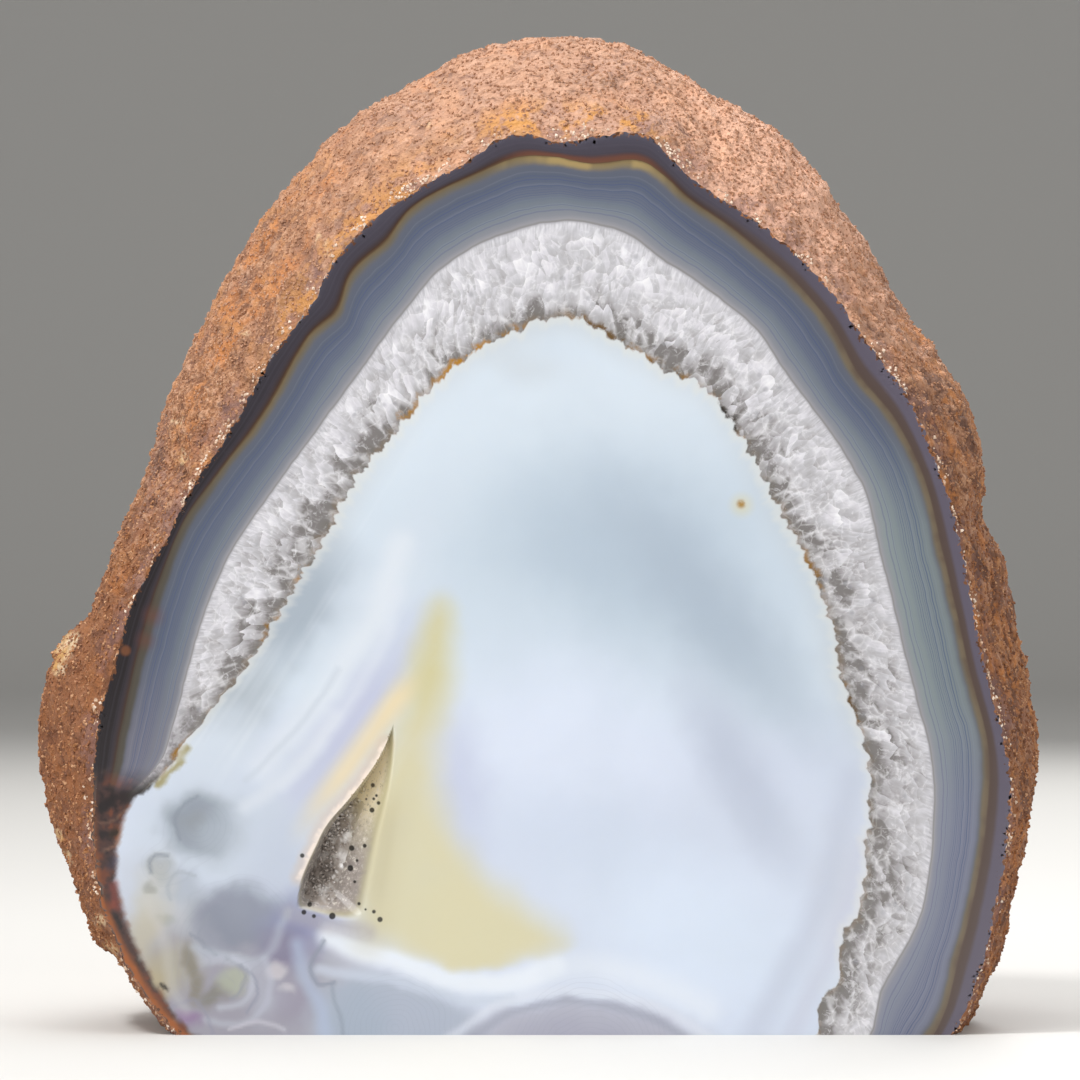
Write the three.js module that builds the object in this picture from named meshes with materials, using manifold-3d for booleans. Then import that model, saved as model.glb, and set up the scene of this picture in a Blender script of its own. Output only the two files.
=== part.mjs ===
// Agate geode: half of a lumpy nodule, sawn and polished in front, sawn flat below to stand.
// Millimetres, +Z up, the polished face towards -Y, the origin at the middle of the base.
import * as THREE from "three";
import { mergeVertices } from "three/addons/utils/BufferGeometryUtils.js";
import Module from "manifold-3d";

// Driving dimensions
const nodule = {
  faceToGirth: 31, // how far behind the polished face the stone is widest
  girthToBack: 62,
  heartHeight: 72, // height of the axis that the outlines are measured from
  backRoundness: 0.78, // under 1 is fuller than an ellipse
  smoothing: 0.42, // radians over which the outline is averaged towards the back
  smoothDepth: 26, // how far behind the girth the averaged outline has taken over
  segments: 120, // corners of a ring round the girth
  frontRings: 8,
  backRings: 24,
  fewestCorners: 7, // in the last ring before the middle of the back
};
const roughness = {
  lump: 2.6,
  swell: 1.7,
  ledge: 1.1,
  knob: 0.8,
  grain: 0.4, // each corner is moved by up to this much
  pit: 1.2,
  pitShare: 0.07, // of the corners behind the girth that lie in a pit
  frontShare: 0.2, // of the lumps in front of the girth, which the outline already shapes
  girthShare: 0.4, // of the knobs at the girth
};
const hollow = {
  depth: 7.6,
  rise: 0.7, // the floor passes this far out of the face along its rim
  across: 16,
  along: 26,
  lipShare: 0.13, // share of the width taken by the steep wall under the lip
  slopePower: 1.15,
  topTaper: 0.34,
  bottomTaper: 0.2,
};
const crust = {
  gap: 0.35, // between the crust and the floor under it
  thickness: 0.8,
  shortest: 0.5,
  tallest: 1.9,
  lean: 0.3, // how far a point may stand off the middle of its foot, as a share of the foot
  clearOfFace: 0.5,
  firstAcross: 3,
  lastAcross: 10,
  firstAlong: 6,
  lastAlong: 22,
};

// Outlines as [across, up], from the right of the base round over the top and under the base
const faceOutline = [
  [74.7, 0], [79.9, 12.2], [83.2, 27.2], [85.2, 43], [84.2, 52], [80.1, 67.5], [77.6, 80.5],
  [75.3, 92], [70, 107.6], [66, 116], [58.3, 126], [54, 132.5], [43.4, 143.5], [37.3, 148],
  [29.2, 153.2], [24.2, 157.6], [20, 161.8], [11.7, 162.5], [4, 161], [-3, 162.6],
  [-8.5, 161], [-12.5, 158], [-21.6, 152.8], [-28.4, 148.5], [-37.6, 139.3], [-41, 132.5],
  [-49.5, 121], [-55.8, 109.6], [-63.2, 98.3], [-67.5, 89.6], [-73.3, 79], [-77.4, 65.5],
  [-79.7, 57], [-80.9, 43], [-79.9, 26.1], [-77, 17], [-71.1, 6.3], [-65.7, 0], [-54, -9],
  [-30, -19], [0, -23], [35, -20], [64, -10],
];
const girthOutline = [
  [77.4, -1], [83.9, 11.5], [87.4, 26.2], [91, 41], [92.3, 50], [90.2, 63.2], [86.7, 78],
  [85.2, 85.4], [81.4, 93.5], [82.2, 100.2], [78.6, 115], [73.6, 122.4], [68, 129.8],
  [59.7, 144.6], [54.9, 151], [51.2, 156.6], [39.9, 166.7], [27.7, 173.8], [18.6, 179],
  [10.5, 181.6], [1.8, 182.5], [-7.4, 181], [-22.7, 174.1], [-34.9, 166.7], [-42, 159.3],
  [-53.8, 144.6], [-61.9, 129.8], [-68.8, 115], [-73.2, 100.2], [-79.5, 85.4], [-82.6, 75.6],
  [-88, 70.6], [-91.3, 63.2], [-92.5, 52], [-91.5, 41], [-86.1, 26.2], [-82.2, 15.2],
  [-77.2, 11.9], [-71.6, 4.1], [-65, -3], [-54, -12], [-30, -22], [0, -26], [36, -22], [66, -11],
];

// Broken facets of the rind: a point on each, the way it faces and how far it reaches
const chips = [
  { at: [-87.4, 20, 69], facing: [-0.62, -0.5, 0.6], reach: 9 },
  { at: [-80.5, 20, 13.5], facing: [-0.55, -0.5, -0.66], reach: 9 },
  { at: [53, 24, 154], facing: [0.6, -0.35, 0.72], reach: 9 },
  { at: [19, 16, 173.5], facing: [0.25, -0.68, 0.69], reach: 11 },
];

// The hollow in the face: its sharp lip and its soft far side, both from the tip down
const lipEdge = [
  [-25.6, 58.6], [-28.6, 50.8], [-33.4, 43.9], [-38.4, 38.2], [-40.7, 34], [-43.2, 28.4], [-45, 22],
];
const softEdge = [
  [-24.6, 58.6], [-25.4, 50.8], [-26.4, 43], [-27.6, 35], [-28.8, 28], [-30, 21], [-31, 17.6],
];

const wasm = await Module();
wasm.setup();

// One step of the 32-bit mix that gives each corner its own repeatable number from 0 to 1
function scatter(seed) {
  let mixed = Math.imul(seed ^ (seed >>> 15), 0x2c1b3c6d);
  mixed = Math.imul(mixed ^ (mixed >>> 12), 0x297a2d39);
  return ((mixed ^ (mixed >>> 15)) >>> 0) / 2 ** 32;
}

// Distance from the heart to a closed outline, for any angle round the axis
function outlineRadius(points) {
  const curve = new THREE.CatmullRomCurve3(
    points.map(([x, z]) => new THREE.Vector3(x, 0, z - nodule.heartHeight)),
    true,
    "centripetal",
  );
  const samples = curve.getPoints(points.length * 16).map((p) => ({
    angle: Math.atan2(p.z, p.x),
    radius: Math.hypot(p.x, p.z),
  }));
  samples.sort((a, b) => a.angle - b.angle);
  const turn = 2 * Math.PI;
  const first = samples[0];
  const last = samples[samples.length - 1];
  samples.unshift({ angle: last.angle - turn, radius: last.radius });
  samples.push({ angle: first.angle + turn, radius: first.radius });
  return (angle) => {
    const wrapped = Math.atan2(Math.sin(angle), Math.cos(angle));
    const after = samples.findIndex((s) => s.angle > wrapped);
    const [a, b] = [samples[after - 1], samples[after]];
    return THREE.MathUtils.mapLinear(wrapped, a.angle, b.angle, a.radius, b.radius);
  };
}

const faceRadius = outlineRadius(faceOutline);
const girthRadius = outlineRadius(girthOutline);

function averagedRadius(angle) {
  const steps = [-1, -0.67, -0.33, 0, 0.33, 0.67, 1];
  const sum = steps.reduce((s, k) => s + girthRadius(angle + k * nodule.smoothing), 0);
  return sum / steps.length;
}

// Broad lumps and ledges and small knobs of the rind at a point
function swelling(x, y, z) {
  const lump = Math.sin(x / 14 + 1.3) * Math.sin(y / 12 + z / 19 + 0.4);
  const swell = Math.sin((x + z) / 10 + 2) * Math.sin((y - x) / 13 + 0.7);
  const knob =
    Math.sin(x / 4.7 + z / 6.1) * Math.sin(y / 5.3 - z / 4.9 + 1) +
    Math.sin(z / 3.9 - y / 6.7 + 2) * Math.sin(x / 5.9 + y / 4.3);
  const ledge = Math.tanh(5 * Math.sin(x / 17 + z / 11 + 1) * Math.sin(y / 9 - z / 21 + 0.6));
  return {
    broad: roughness.lump * lump + roughness.swell * swell + roughness.ledge * ledge,
    fine: roughness.knob * knob,
  };
}

function chipped(point) {
  for (const { at, facing, reach } of chips) {
    const normal = new THREE.Vector3(...facing).normalize();
    const away = point.clone().sub(new THREE.Vector3(...at));
    const near = 1 - THREE.MathUtils.smoothstep(away.length(), 0.75 * reach, 1.25 * reach);
    point.addScaledVector(normal, -near * Math.max(0, normal.dot(away)));
  }
  return point;
}

// A point of the rind in front of the girth, from 0 at the face to 1 at the girth
function frontPoint(angle, share) {
  const near = faceRadius(angle);
  const radius = near + (girthRadius(angle) - near) * Math.sin((share * Math.PI) / 2);
  const x = radius * Math.cos(angle);
  const y = share * nodule.faceToGirth;
  const z = nodule.heartHeight + radius * Math.sin(angle);
  const { broad, fine } = swelling(x, y, z);
  const { frontShare, girthShare } = roughness;
  const held = Math.sin(share * Math.PI);
  const out = held * frontShare * broad + (0.8 * held * (1 - share) + girthShare * share) * fine;
  return chipped(
    new THREE.Vector3(x + out * Math.cos(angle), y, z + out * Math.sin(angle)),
  );
}

// A point of the rind behind the girth, from 0 at the girth to 1 at the back
function backPoint(angle, share) {
  const turn = (share * Math.PI) / 2;
  const y = nodule.faceToGirth + nodule.girthToBack * Math.sin(turn);
  const eased = THREE.MathUtils.smoothstep(y - nodule.faceToGirth, 0, nodule.smoothDepth);
  const wide = THREE.MathUtils.lerp(girthRadius(angle), averagedRadius(angle), eased);
  const radius = wide * Math.cos(turn) ** nodule.backRoundness;
  const point = new THREE.Vector3(
    radius * Math.cos(angle),
    y,
    nodule.heartHeight + radius * Math.sin(angle),
  );
  const { broad, fine } = swelling(point.x, point.y, point.z);
  const heart = new THREE.Vector3(0, nodule.faceToGirth, nodule.heartHeight);
  const outward = point.clone().sub(heart).normalize();
  const fineShare = THREE.MathUtils.lerp(roughness.girthShare, 1, eased);
  const pitted = scatter(Math.round(4000 * (share + angle))) < roughness.pitShare;
  const out = eased * broad + fineShare * fine - (pitted ? eased * roughness.pit : 0);
  return chipped(point.addScaledVector(outward, out));
}

function solidFrom(points, triangles) {
  const geometry = new THREE.BufferGeometry().setFromPoints(points);
  geometry.setIndex(triangles.flat());
  const merged = mergeVertices(geometry);
  return new wasm.Manifold(
    new wasm.Mesh({
      numProp: 3,
      vertProperties: new Float32Array(merged.attributes.position.array),
      triVerts: new Uint32Array(merged.index.array),
    }),
  );
}

// Shares of the way from girth to back that lie evenly along the curve of the back
function evenShares(count) {
  const fine = 400;
  const across = girthRadius(0);
  const lengths = [0];
  for (let i = 1; i <= fine; i++) {
    const [a, b] = [i - 1, i].map((k) => (k / fine) * (Math.PI / 2));
    const wide = (turn) => across * Math.max(Math.cos(turn), 0) ** nodule.backRoundness;
    const step = Math.hypot(wide(b) - wide(a), nodule.girthToBack * (Math.sin(b) - Math.sin(a)));
    lengths.push(lengths[i - 1] + step);
  }
  const whole = lengths[fine];
  return Array.from({ length: count }, (_, i) => {
    const after = lengths.findIndex((length) => length > (whole * (i + 1)) / (count + 1));
    return after / fine;
  });
}

// Triangles between two rings of corners, which may differ in number
function ringTriangles(near, far) {
  const triangles = [];
  let [i, j] = [0, 0];
  while (i < near.length || j < far.length) {
    const nearNext = near[(i + 1) % near.length];
    const farNext = far[(j + 1) % far.length];
    const nearTurn = i < near.length ? (i + 1) / near.length : 2;
    const farTurn = j < far.length ? (j + 1) / far.length : 2;
    const [a, b] = [near[i % near.length], far[j % far.length]];
    if (nearTurn <= farTurn) {
      triangles.push([a, b, nearNext]);
      i++;
    } else {
      triangles.push([a, b, farNext]);
      j++;
    }
  }
  return triangles;
}

// The whole nodule behind the face, before the base is sawn off and the hollow is opened
function noduleSolid() {
  const { segments, frontRings, backRings, fewestCorners } = nodule;
  const points = [];
  const rings = [];
  const addRing = (corners, pointAt) => {
    const grainless = rings.length === 0;
    const ring = Array.from({ length: corners }, (_, j) => {
      const point = pointAt((2 * Math.PI * j) / corners);
      const seed = 3 * points.length;
      const shake = (k) => (grainless ? 0 : roughness.grain * (2 * scatter(seed + k) - 1));
      return points.push(point.add(new THREE.Vector3(shake(1), shake(2), shake(3)))) - 1;
    });
    rings.push(ring);
  };
  for (let i = 0; i <= frontRings; i++) {
    addRing(segments, (angle) => frontPoint(angle, i / frontRings));
  }
  for (const share of evenShares(backRings)) {
    const narrowed = Math.cos((share * Math.PI) / 2) ** nodule.backRoundness;
    const corners = Math.max(fewestCorners, Math.round(segments * narrowed));
    addRing(corners, (angle) => backPoint(angle, share));
  }
  const middle = points.push(new THREE.Vector3(0, 0, nodule.heartHeight)) - 1;
  const back = points.push(backPoint(0, 1)) - 1;
  const triangles = rings.slice(1).flatMap((ring, i) => ringTriangles(rings[i], ring));
  const lastRing = rings[rings.length - 1];
  rings[0].forEach((corner, j) => triangles.push([middle, corner, rings[0][(j + 1) % segments]]));
  lastRing.forEach((corner, j) => {
    triangles.push([back, lastRing[(j + 1) % lastRing.length], corner]);
  });
  return solidFrom(points, triangles);
}

// Everything below the saw cut of the base
function belowBase() {
  const block = new THREE.BoxGeometry(300, 300, 100).translate(0, 60, -50);
  block.deleteAttribute("normal");
  block.deleteAttribute("uv");
  const merged = mergeVertices(block);
  return new wasm.Manifold(
    new wasm.Mesh({
      numProp: 3,
      vertProperties: new Float32Array(merged.attributes.position.array),
      triVerts: new Uint32Array(merged.index.array),
    }),
  );
}

const lipCurve = new THREE.SplineCurve(lipEdge.map(([x, z]) => new THREE.Vector2(x, z)));
const softCurve = new THREE.SplineCurve(softEdge.map(([x, z]) => new THREE.Vector2(x, z)));

// The floor of the hollow: deep under the lip, rising to the face at the far side and both ends
function floorPoint(across, along) {
  const { smoothstep } = THREE.MathUtils;
  const place = lipCurve.getPoint(along).lerp(softCurve.getPoint(along), across);
  const wall = smoothstep(across, 0, hollow.lipShare);
  const ends = smoothstep(along, 0, hollow.topTaper) * smoothstep(1 - along, 0, hollow.bottomTaper);
  const depth = hollow.depth * wall * (1 - across) ** hollow.slopePower * ends - hollow.rise;
  return new THREE.Vector3(place.x, depth, place.y);
}

// A closed slab between two sheets of points with the same rows and columns. The first sheet is in
// front. A tip, where one is given for a cell, makes a four-sided point of it.
function slabSolid(front, behind, tipOf) {
  const [rows, columns] = [front.length, front[0].length];
  const points = [...front.flat(), ...behind.flat()];
  const frontAt = (i, j) => i * columns + j;
  const behindAt = (i, j) => rows * columns + i * columns + j;
  const triangles = [];
  for (let i = 0; i < rows - 1; i++) {
    for (let j = 0; j < columns - 1; j++) {
      const corners = [frontAt(i, j), frontAt(i + 1, j), frontAt(i + 1, j + 1), frontAt(i, j + 1)];
      const tip = tipOf ? tipOf(i, j) : null;
      if (tip) {
        const top = points.push(tip) - 1;
        corners.forEach((corner, k) => triangles.push([top, corner, corners[(k + 1) % 4]]));
      } else {
        triangles.push([corners[0], corners[1], corners[2]], [corners[0], corners[2], corners[3]]);
      }
      const [a, b, c, d] = [
        behindAt(i, j), behindAt(i, j + 1), behindAt(i + 1, j + 1), behindAt(i + 1, j),
      ];
      triangles.push([a, b, c], [a, c, d]);
    }
  }
  const rim = [];
  for (let j = 0; j < columns - 1; j++) rim.push([0, j]);
  for (let i = 0; i < rows - 1; i++) rim.push([i, columns - 1]);
  for (let j = columns - 1; j > 0; j--) rim.push([rows - 1, j]);
  for (let i = rows - 1; i > 0; i--) rim.push([i, 0]);
  rim.forEach((here, k) => {
    const next = rim[(k + 1) % rim.length];
    const [a, b] = [frontAt(...here), frontAt(...next)];
    const [c, d] = [behindAt(...here), behindAt(...next)];
    triangles.push([a, b, d], [a, d, c]);
  });
  return solidFrom(points, triangles);
}

function grid(rows, columns, pointAt) {
  return Array.from({ length: rows }, (_, i) =>
    Array.from({ length: columns }, (_, j) => pointAt(i, j)),
  );
}

const floorGrid = grid(hollow.along + 1, hollow.across + 1, (i, j) =>
  floorPoint(j / hollow.across, i / hollow.along),
);

// What the hollow takes out of the stone: from its floor to a little in front of the face
function hollowSolid() {
  const before = -3;
  const front = floorGrid.map((row) => row.map((p) => new THREE.Vector3(p.x, before, p.z)));
  return slabSolid(front, floorGrid);
}

// The druse on the floor: one crust of small pointed crystals grown together
function druseSolid() {
  const rows = crust.lastAlong - crust.firstAlong + 1;
  const columns = crust.lastAcross - crust.firstAcross + 1;
  const floorAt = (i, j) => floorGrid[crust.firstAlong + i][crust.firstAcross + j];
  const raised = (p, height) =>
    new THREE.Vector3(p.x, Math.max(p.y - height, crust.clearOfFace), p.z);
  const behind = grid(rows, columns, (i, j) => raised(floorAt(i, j), crust.gap));
  const front = grid(rows, columns, (i, j) => {
    const edge = Math.min(i, j, rows - 1 - i, columns - 1 - j) === 0 ? 0.4 : 1;
    return raised(floorAt(i, j), crust.gap + edge * crust.thickness);
  });
  const tipOf = (i, j) => {
    const index = 3 * (i * columns + j);
    const corners = [front[i][j], front[i + 1][j], front[i + 1][j + 1], front[i][j + 1]];
    const middle = corners.reduce((sum, p) => sum.add(p), new THREE.Vector3()).divideScalar(4);
    const lean = (k) => crust.lean * (2 * scatter(index + k) - 1);
    const side = new THREE.Vector3().subVectors(corners[3], corners[0]).multiplyScalar(lean(5));
    const down = new THREE.Vector3().subVectors(corners[1], corners[0]).multiplyScalar(lean(6));
    const height = THREE.MathUtils.lerp(crust.shortest, crust.tallest, scatter(index + 7) ** 2);
    return raised(middle.add(side).add(down), height);
  };
  return slabSolid(front, behind, tipOf);
}

function meshOf(solid, name, material) {
  const made = solid.getMesh();
  const geometry = new THREE.BufferGeometry();
  geometry.setAttribute("position", new THREE.BufferAttribute(made.vertProperties, made.numProp));
  geometry.setIndex(new THREE.BufferAttribute(made.triVerts, 1));
  geometry.computeVertexNormals();
  const mesh = new THREE.Mesh(geometry, material);
  mesh.name = name;
  return mesh;
}

const stoneMaterial = new THREE.MeshStandardMaterial({
  color: 0xa5683f,
  roughness: 0.7,
  metalness: 0,
});
const druseMaterial = new THREE.MeshStandardMaterial({
  color: 0x9a9088,
  roughness: 0.25,
  metalness: 0,
});

const stone = noduleSolid().subtract(belowBase()).subtract(hollowSolid());
const geode = new THREE.Group();
geode.add(meshOf(stone, "geode_stone", stoneMaterial));
geode.add(meshOf(druseSolid(), "hollow_druse", druseMaterial));

const size = new THREE.Box3().setFromObject(geode);
const centre = size.getCenter(new THREE.Vector3());
geode.position.set(-centre.x, -centre.y, -size.min.z);

export default geode;
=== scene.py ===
# Agate geode: half a lumpy nodule, polished in front, sawn flat below, rusty and pitted behind
import math

import bmesh
import bpy
import numpy as np
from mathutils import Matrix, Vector, geometry, noise


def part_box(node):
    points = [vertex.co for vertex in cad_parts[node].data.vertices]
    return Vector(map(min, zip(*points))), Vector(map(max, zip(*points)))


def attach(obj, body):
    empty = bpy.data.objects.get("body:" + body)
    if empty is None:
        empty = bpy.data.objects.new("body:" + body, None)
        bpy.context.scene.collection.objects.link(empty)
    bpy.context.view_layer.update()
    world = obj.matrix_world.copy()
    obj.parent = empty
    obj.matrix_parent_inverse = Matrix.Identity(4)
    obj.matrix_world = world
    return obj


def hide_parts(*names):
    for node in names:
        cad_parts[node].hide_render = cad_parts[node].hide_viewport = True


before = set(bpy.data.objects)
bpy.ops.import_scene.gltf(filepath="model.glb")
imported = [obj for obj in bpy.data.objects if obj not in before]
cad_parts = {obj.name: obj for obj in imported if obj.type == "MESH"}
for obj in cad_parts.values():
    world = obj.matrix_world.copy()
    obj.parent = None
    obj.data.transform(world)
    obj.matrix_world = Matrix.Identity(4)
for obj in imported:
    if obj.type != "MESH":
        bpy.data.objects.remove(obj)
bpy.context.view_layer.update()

mm = 0.001
stoneLow, stoneHigh = (np.array(corner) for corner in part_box("geode_stone"))
faceAt = stoneLow[1]  # the polished face, metres

camera = {
    "distance": 1.0,  # lens to polished face
    "height": 0.0891,
    "frameWidth": 0.1944,  # what the picture takes in at the face
    "sensor": 36.0,
}


# Outlines in millimetres as [across, up], the same as the solid's, from the right of the base over the top
nodule = {
    "faceToGirth": 31,
    "girthToBack": 62,
    "heartHeight": 72,
    "backRoundness": 0.78,
    "smoothing": 0.42,
    "smoothDepth": 26,
    "frontCorners": 1000,
    "backCorners": 470,
    "frontRings": 34,
    "backRings": 104,
    "thinOver": 14,  # rings over which the corners go from the front's number to the back's
}
faceOutline = [
    (74.7, 0), (79.9, 12.2), (83.2, 27.2), (85.2, 43), (84.2, 52), (80.1, 67.5), (77.6, 80.5),
    (75.3, 92), (70, 107.6), (66, 116), (58.3, 126), (54, 132.5), (43.4, 143.5), (37.3, 148),
    (29.2, 153.2), (24.2, 157.6), (20, 161.8), (11.7, 162.5), (4, 161), (-3, 162.6),
    (-8.5, 161), (-12.5, 158), (-21.6, 152.8), (-28.4, 148.5), (-37.6, 139.3), (-41, 132.5),
    (-49.5, 121), (-55.8, 109.6), (-63.2, 98.3), (-67.5, 89.6), (-73.3, 79), (-77.4, 65.5),
    (-79.7, 57), (-80.9, 43), (-79.9, 26.1), (-77, 17), (-71.1, 6.3), (-65.7, 0), (-54, -9),
    (-30, -19), (0, -23), (35, -20), (64, -10),
]
girthOutline = [
    (77.4, -1), (83.9, 11.5), (87.4, 26.2), (91, 41), (92.3, 50), (90.2, 63.2), (86.7, 78),
    (85.2, 85.4), (81.4, 93.5), (82.2, 100.2), (78.6, 115), (73.6, 122.4), (68, 129.8),
    (59.7, 144.6), (54.9, 151), (51.2, 156.6), (39.9, 166.7), (27.7, 173.8), (18.6, 179),
    (10.5, 181.6), (1.8, 182.5), (-7.4, 181), (-22.7, 174.1), (-34.9, 166.7), (-42, 159.3),
    (-53.8, 144.6), (-61.9, 129.8), (-68.8, 115), (-73.2, 100.2), (-79.5, 85.4), (-82.6, 75.6),
    (-88, 70.6), (-91.3, 63.2), (-92.5, 52), (-91.5, 41), (-86.1, 26.2), (-82.2, 15.2),
    (-77.2, 11.9), (-71.6, 4.1), (-65, -3), (-54, -12), (-30, -22), (0, -26), (36, -22), (66, -11),
]
brownLine = [
    (70.7, 0), (75.6, 15.3), (79.2, 31.5), (80.8, 47), (80.2, 54), (77.2, 65.5), (74.7, 76.9),
    (72, 88.4), (69.1, 99.9), (63.7, 110.9), (57.4, 118.6), (52.4, 127.6), (46.3, 135), (41.9, 139),
    (34.2, 145.3), (27, 150.3), (22.1, 154.8), (18, 157.3), (9, 156.8), (2.9, 158), (-3.6, 158),
    (-10.4, 155.4), (-22.9, 149), (-27.7, 142.9), (-34, 137), (-36.5, 130.5), (-41.4, 126),
    (-48.8, 113.2), (-57.6, 101.3), (-63.7, 93), (-67.5, 84), (-71.2, 72), (-73.6, 62), (-76, 50),
    (-78, 40), (-78.2, 30), (-77, 22), (-73.4, 13), (-68.4, 5), (-64, 0), (-52, -7), (-30, -16),
    (0, -19), (33, -17), (60, -9),
]
quartzOuter = [
    (59.4, 0), (61.4, 8.5), (68.2, 21.6), (70.7, 39.6), (70.4, 48.8), (65.7, 68), (61.2, 86.4),
    (58.9, 96.3), (53.8, 105.8), (44.8, 118.1), (38.9, 126.7), (31.5, 133), (22, 139.5),
    (14.4, 144.5), (4, 146.3), (-5.9, 144.2), (-16.6, 138.6), (-22.9, 131.8), (-31.5, 120.6),
    (-41.4, 106.9), (-50, 95.2), (-56.3, 85.3), (-61.2, 72.9), (-65, 59.4), (-68, 49.6),
    (-70.4, 46.6), (-74.9, 42), (-77, 36.4), (-77.4, 29), (-76, 21), (-72.4, 12.4), (-67.4, 4),
    (-63, -1), (-52, -5), (-30, -11), (0, -14), (30, -12), (52, -7),
]
quartzInner = [
    (49.5, 0), (50.6, 6), (53.4, 10.5), (54.6, 17.8), (57.6, 23), (58.9, 36.4), (59.4, 45.7),
    (57.9, 54), (54.3, 64.3), (53, 72.5), (49.6, 82.5), (46.8, 88), (42, 96.3), (37.9, 105),
    (34, 111), (29.6, 116.4), (22.5, 119.8), (15.5, 124.4), (10, 127.6), (4.4, 129.6), (-3.4, 127.2),
    (-11.5, 123.3), (-19.8, 116), (-26.2, 108.6), (-34.9, 97.4), (-38.9, 89.4), (-44, 81),
    (-49, 72), (-55.5, 63.2), (-61.2, 56.2), (-65.6, 50), (-68.8, 46.4), (-74, 41.4), (-76.2, 36),
    (-76.6, 29), (-75.2, 21.4), (-71.7, 13), (-66.8, 4.6), (-62.4, 0), (-51, -4), (-30, -9),
    (0, -11), (26, -10), (43, -6),
]
chips = [
    {"at": (-87.4, 20, 69), "facing": (-0.62, -0.5, 0.6), "reach": 9},
    {"at": (-80.5, 20, 13.5), "facing": (-0.55, -0.5, -0.66), "reach": 9},
    {"at": (53, 24, 154), "facing": (0.6, -0.35, 0.72), "reach": 9},
    {"at": (19, 16, 173.5), "facing": (0.25, -0.68, 0.69), "reach": 11},
]
swell = {"lump": 2.6, "swell": 1.7, "ledge": 1.1, "knob": 0.8, "frontShare": 0.2, "girthShare": 0.4}


def smoothStep(low, high, value):
    share = np.clip((np.asarray(value, float) - low) / (high - low), 0, 1)
    return share * share * (3 - 2 * share)


def closedCurve(points, steps=16):  # a centripetal curve through the points, back to the first
    points = np.array(points, float)
    made = []
    for i in range(len(points)):
        p0, p1, p2, p3 = (points[(i + k) % len(points)] for k in (-1, 0, 1, 2))
        d0, d1, d2 = (math.dist(a, b) ** 0.5 for a, b in ((p0, p1), (p1, p2), (p2, p3)))
        out = ((p1 - p0) / d0 - (p2 - p0) / (d0 + d1) + (p2 - p1) / d1) * d1
        into = ((p2 - p1) / d1 - (p3 - p1) / (d1 + d2) + (p3 - p2) / d2) * d1
        for t in np.arange(steps) / steps:
            made.append(
                p1 + out * t + (3 * (p2 - p1) - 2 * out - into) * t**2 + (2 * (p1 - p2) + out + into) * t**3
            )
    return np.array(made)


def radiusOf(points):  # distance from the heart to an outline, for any angle
    curve = closedCurve(points)
    across, above = curve[:, 0], curve[:, 1] - nodule["heartHeight"]
    angles, radii = np.arctan2(above, across), np.hypot(across, above)
    order = np.argsort(angles)
    angles, radii = angles[order], radii[order]

    def radius(angle):
        return np.interp(np.asarray(angle, float), angles, radii, period=2 * math.pi)

    return radius


faceRadius, girthRadius, brownRadius, outerRadius, innerRadius = (
    radiusOf(points) for points in (faceOutline, girthOutline, brownLine, quartzOuter, quartzInner)
)


def averagedRadius(angle):
    shifts = (-1, -0.67, -0.33, 0, 0.33, 0.67, 1)
    return sum(girthRadius(angle + k * nodule["smoothing"]) for k in shifts) / len(shifts)


def swelling(x, y, z):  # broad lumps and ledges, small knobs
    lump = np.sin(x / 14 + 1.3) * np.sin(y / 12 + z / 19 + 0.4)
    broadSwell = np.sin((x + z) / 10 + 2) * np.sin((y - x) / 13 + 0.7)
    knob = np.sin(x / 4.7 + z / 6.1) * np.sin(y / 5.3 - z / 4.9 + 1)
    knob = knob + np.sin(z / 3.9 - y / 6.7 + 2) * np.sin(x / 5.9 + y / 4.3)
    ledge = np.tanh(5 * np.sin(x / 17 + z / 11 + 1) * np.sin(y / 9 - z / 21 + 0.6))
    broad = swell["lump"] * lump + swell["swell"] * broadSwell + swell["ledge"] * ledge
    return broad, swell["knob"] * knob


def chipped(points):
    for chip in chips:
        normal = np.array(chip["facing"]) / np.linalg.norm(chip["facing"])
        away = points - np.array(chip["at"])
        near = 1 - smoothStep(0.75 * chip["reach"], 1.25 * chip["reach"], np.linalg.norm(away, axis=1))
        points = points - (near * np.maximum(0, away @ normal))[:, None] * normal
    return points


# The fine relief of the rind, millimetres
relief = {
    "rough": 0.62, "roughSize": 2.3,
    "wrinkle": 0.62, "wrinkleSize": 1.25, "wrinkleLength": 2.6,  # along the rim, in front only
    "pit": 0.5, "pitSize": 1.9,
    "bigPit": 1.1, "bigPitSize": 5.5,
    "frontUntil": 34, "backFrom": 58,
    "calmEdge": 1.0,  # next to the polished face the relief is cut off
    "jag": 0.75, "jagSize": 2.3, "fineJag": 0.4, "fineJagSize": 0.8,
}


def alongRim(x, z):  # millimetres round the stone, its seam under the base
    return (np.arctan2(z - nodule["heartHeight"], x) + math.pi / 2) % (2 * math.pi) * 70.0


def rindRelief(points):
    out = np.empty(len(points))
    along = alongRim(points[:, 0], points[:, 2])
    inFront = 1 - smoothStep(relief["frontUntil"], relief["backFrom"], points[:, 1])
    longer = relief["wrinkleSize"] * relief["wrinkleLength"]
    for i, p in enumerate(points):
        at = Vector(p)
        rough = noise.fractal(at / relief["roughSize"], 0.7, 2.2, 4)
        small = noise.voronoi(at / relief["pitSize"])[0][0]
        big = noise.voronoi(at / relief["bigPitSize"])[0][0]
        out[i] = relief["rough"] * rough - relief["pit"] * max(0.0, 0.42 - small) / 0.42
        out[i] -= relief["bigPit"] * max(0.0, 0.33 - big) / 0.33
        if inFront[i] > 0:
            stretched = Vector((along[i] / longer, p[1] / relief["wrinkleSize"], along[i] / 40 + p[1] / 60))
            out[i] += relief["wrinkle"] * inFront[i] * noise.fractal(stretched, 0.8, 2.0, 3)
    return out


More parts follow.
